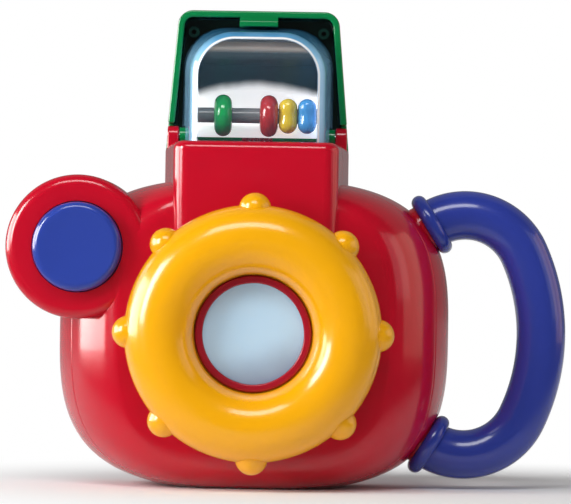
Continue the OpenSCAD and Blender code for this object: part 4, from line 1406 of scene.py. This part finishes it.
def dress_inner_nodes() -> None:
    """Gives the CAD nodes that stay a finish of their own."""
    kept = {"shell_screws": STEEL, "click_pawl": STEEL, "squeaker_bellows": VINYL, "squeaker_reed": WHITE,
            "release_lever": WHITE, "lever_screw": STEEL, "hinge_pin": STEEL, "flash_spring": STEEL}
    for node, finish in kept.items():
        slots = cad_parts[node].data.materials
        slots.clear()
        slots.append(finish.material())
        LOG.info("%s keeps its CAD mesh in %s", node, finish.name)


def soften_bellows() -> None:
    """Gives the soft bellows a mesh of its own."""
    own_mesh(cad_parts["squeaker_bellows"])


@dataclass(frozen=True)
class Lamp:
    """One soft box: its place and size in millimetres and how bright its face is."""

    name: str
    place: tuple[float, float, float]
    size: tuple[float, float]
    glow: float
    tint: tuple[float, float, float] = (1.0, 1.0, 1.0)
    gloss_only: bool = False
    aim: tuple[float, float, float] = (10.0, 0.0, 60.0)

    def hang(self) -> None:
        """Hangs the soft box so that it faces its aim."""
        data = bpy.data.lights.new(self.name, "AREA")
        data.shape = "RECTANGLE"
        data.size, data.size_y = (length * MM for length in self.size)
        data.color = self.tint
        data.energy = self.glow * math.pi * data.size * data.size_y
        obj = bpy.data.objects.new(self.name, data)
        bpy.context.scene.collection.objects.link(obj)
        obj.visible_diffuse = not self.gloss_only
        spot = Vector(self.place) * MM
        turn = (Vector(self.aim) * MM - spot).to_track_quat("-Z", "Y")
        obj.matrix_world = Matrix.Translation(spot) @ turn.to_matrix().to_4x4()


@dataclass
class Studio:
    """Camera, soft boxes, pale floor and white surround."""

    distance: float = 1400.0
    ring_plane: float = -27.5
    pixel: float = 0.3152
    aim: tuple[float, float] = (9.8, 76.0)
    roll: float = 0.9
    sensor: float = 36.0
    lamps: tuple[Lamp, ...] = (
        Lamp("key_box", (-1000.0, -600.0, 450.0), (420.0, 700.0), 11.5),
        Lamp("top_box", (-100.0, -750.0, 950.0), (700.0, 300.0), 7.0),
        Lamp("right_fill", (1000.0, -300.0, 400.0), (600.0, 600.0), 0.6),
        Lamp("left_gleam", (-990.0, -590.0, 440.0), (240.0, 560.0), 9.0, gloss_only=True),
        Lamp("left_strip", (-1060.0, 60.0, 270.0), (800.0, 540.0), 12.0, (1.0, 0.9, 0.86), True),
        Lamp("right_card", (1050.0, 100.0, 300.0), (800.0, 700.0), 1.1, (1.0, 0.6, 0.45), True),
    )
    ambient: float = 0.3
    camera_side: float = 0.04
    gloss_share: float = 0.2
    floor_size: float = 8000.0
    paper: tuple[float, float] = (0.92, 0.95)
    shadow_reach: tuple[float, float] = (80.0, 210.0)
    shadow_x: float = 55.0
    front_reach: tuple[float, float] = (40.0, 200.0)

    def camera(self) -> None:
        """Sets the camera in front of the lens, as far away as the photograph shows."""
        data = bpy.data.cameras.new("studio_camera")
        data.sensor_width = self.sensor
        data.lens = self.sensor * self.distance / (self.pixel * IMAGE_W)
        data.clip_end = 100.0
        obj = bpy.data.objects.new("studio_camera", data)
        bpy.context.scene.collection.objects.link(obj)
        place = at(self.aim[0], self.ring_plane - self.distance, self.aim[1])
        level = Matrix.Rotation(math.pi / 2, 4, "X")
        roll = Matrix.Rotation(math.radians(self.roll), 4, "Z")
        obj.matrix_world = Matrix.Translation(place) @ level @ roll
        bpy.context.scene.camera = obj

    def seen(self, graph: Graph) -> tuple[Wire, Wire, Wire]:
        """Returns whether a ray comes from the eye, from a gloss or through clear plastic."""
        kinds = ("Is Camera Ray", "Is Glossy Ray", "Is Transmission Ray")
        return tuple(graph.node("ShaderNodeLightPath", output=kind) for kind in kinds)

    def floor(self) -> None:
        """Lays a pale floor that keeps the object's shadow and is plain white further off."""
        deselect()
        bpy.ops.mesh.primitive_grid_add(x_subdivisions=4, y_subdivisions=4, size=self.floor_size * MM)
        obj = bpy.context.object
        obj.name = "studio_floor"
        material = bpy.data.materials.new("floor_paper")
        material.use_nodes = True
        graph = Graph(material.node_tree)
        low, high = ((tone, tone, tone, 1.0) for tone in self.paper)
        paper = graph.shader(base_color=graph.blend(graph.noise(240.0, 3.0), low, high), roughness=0.95,
                             specular_IOR_level=0.0)
        white, dark = (graph.node("ShaderNodeEmission", None, {"Color": WHITE_LIGHT, "Strength": level})
                       for level in (1.0, self.camera_side))
        x, y, _ = graph.parts(graph.place())
        aside = x - self.shadow_x * MM
        away = (aside * aside + y * y).root()
        far = graph.band(away, self.shadow_reach[0] * MM, self.shadow_reach[1] * MM)
        ahead = graph.band(0.6 * abs(x) - y, self.front_reach[0] * MM, self.front_reach[1] * MM)
        eye, gloss, through = self.seen(graph)
        surface = graph.layer(far * eye.larger(gloss * self.gloss_share).larger(through), paper, white)
        surface = graph.layer(gloss * ahead, surface, dark)
        graph.node("ShaderNodeOutputMaterial", None, {"Surface": surface})
        obj.data.materials.append(material)

    def surround(self) -> None:
        """Makes the world white to the eye, dim towards the camera in a gloss, and soft on the object."""
        world = bpy.data.worlds.new("studio_world")
        world.use_nodes = True
        graph = Graph(world.node_tree)
        levels = (self.ambient, self.camera_side, 1.0)
        soft, dim, bright = (graph.node("ShaderNodeBackground", None, {"Color": WHITE_LIGHT, "Strength": s})
                             for s in levels)
        eye, gloss, through = self.seen(graph)
        _, back, _ = graph.parts(graph.node("ShaderNodeTexCoord", output="Generated"))
        backdrop = graph.band(back, 0.0, 0.3) * self.gloss_share
        below = graph.layer(gloss, soft, dim)
        surface = graph.layer(eye.larger(through).larger(gloss * backdrop), below, bright)
        graph.node("ShaderNodeOutputWorld", None, {"Surface": surface})
        bpy.context.scene.world = world

    def build(self) -> None:
        """Sets up the whole studio."""
        self.camera()
        for lamp in self.lamps:
            lamp.hang()
        self.floor()
        self.surround()
        bpy.context.scene.view_settings.view_transform = "Standard"


def main() -> None:
    """Builds every sub-assembly and the studio in order."""
    logging.basicConfig(level=logging.INFO, format="%(message)s")
    Studio().build()
    housing = Housing()
    housing.build()
    LensGroup().build()
    ShutterButton().build()
    HandleLoop().build(housing)
    FlashHead().build()
    dress_inner_nodes()
    soften_bellows()


if __name__ == "__main__":
    main()
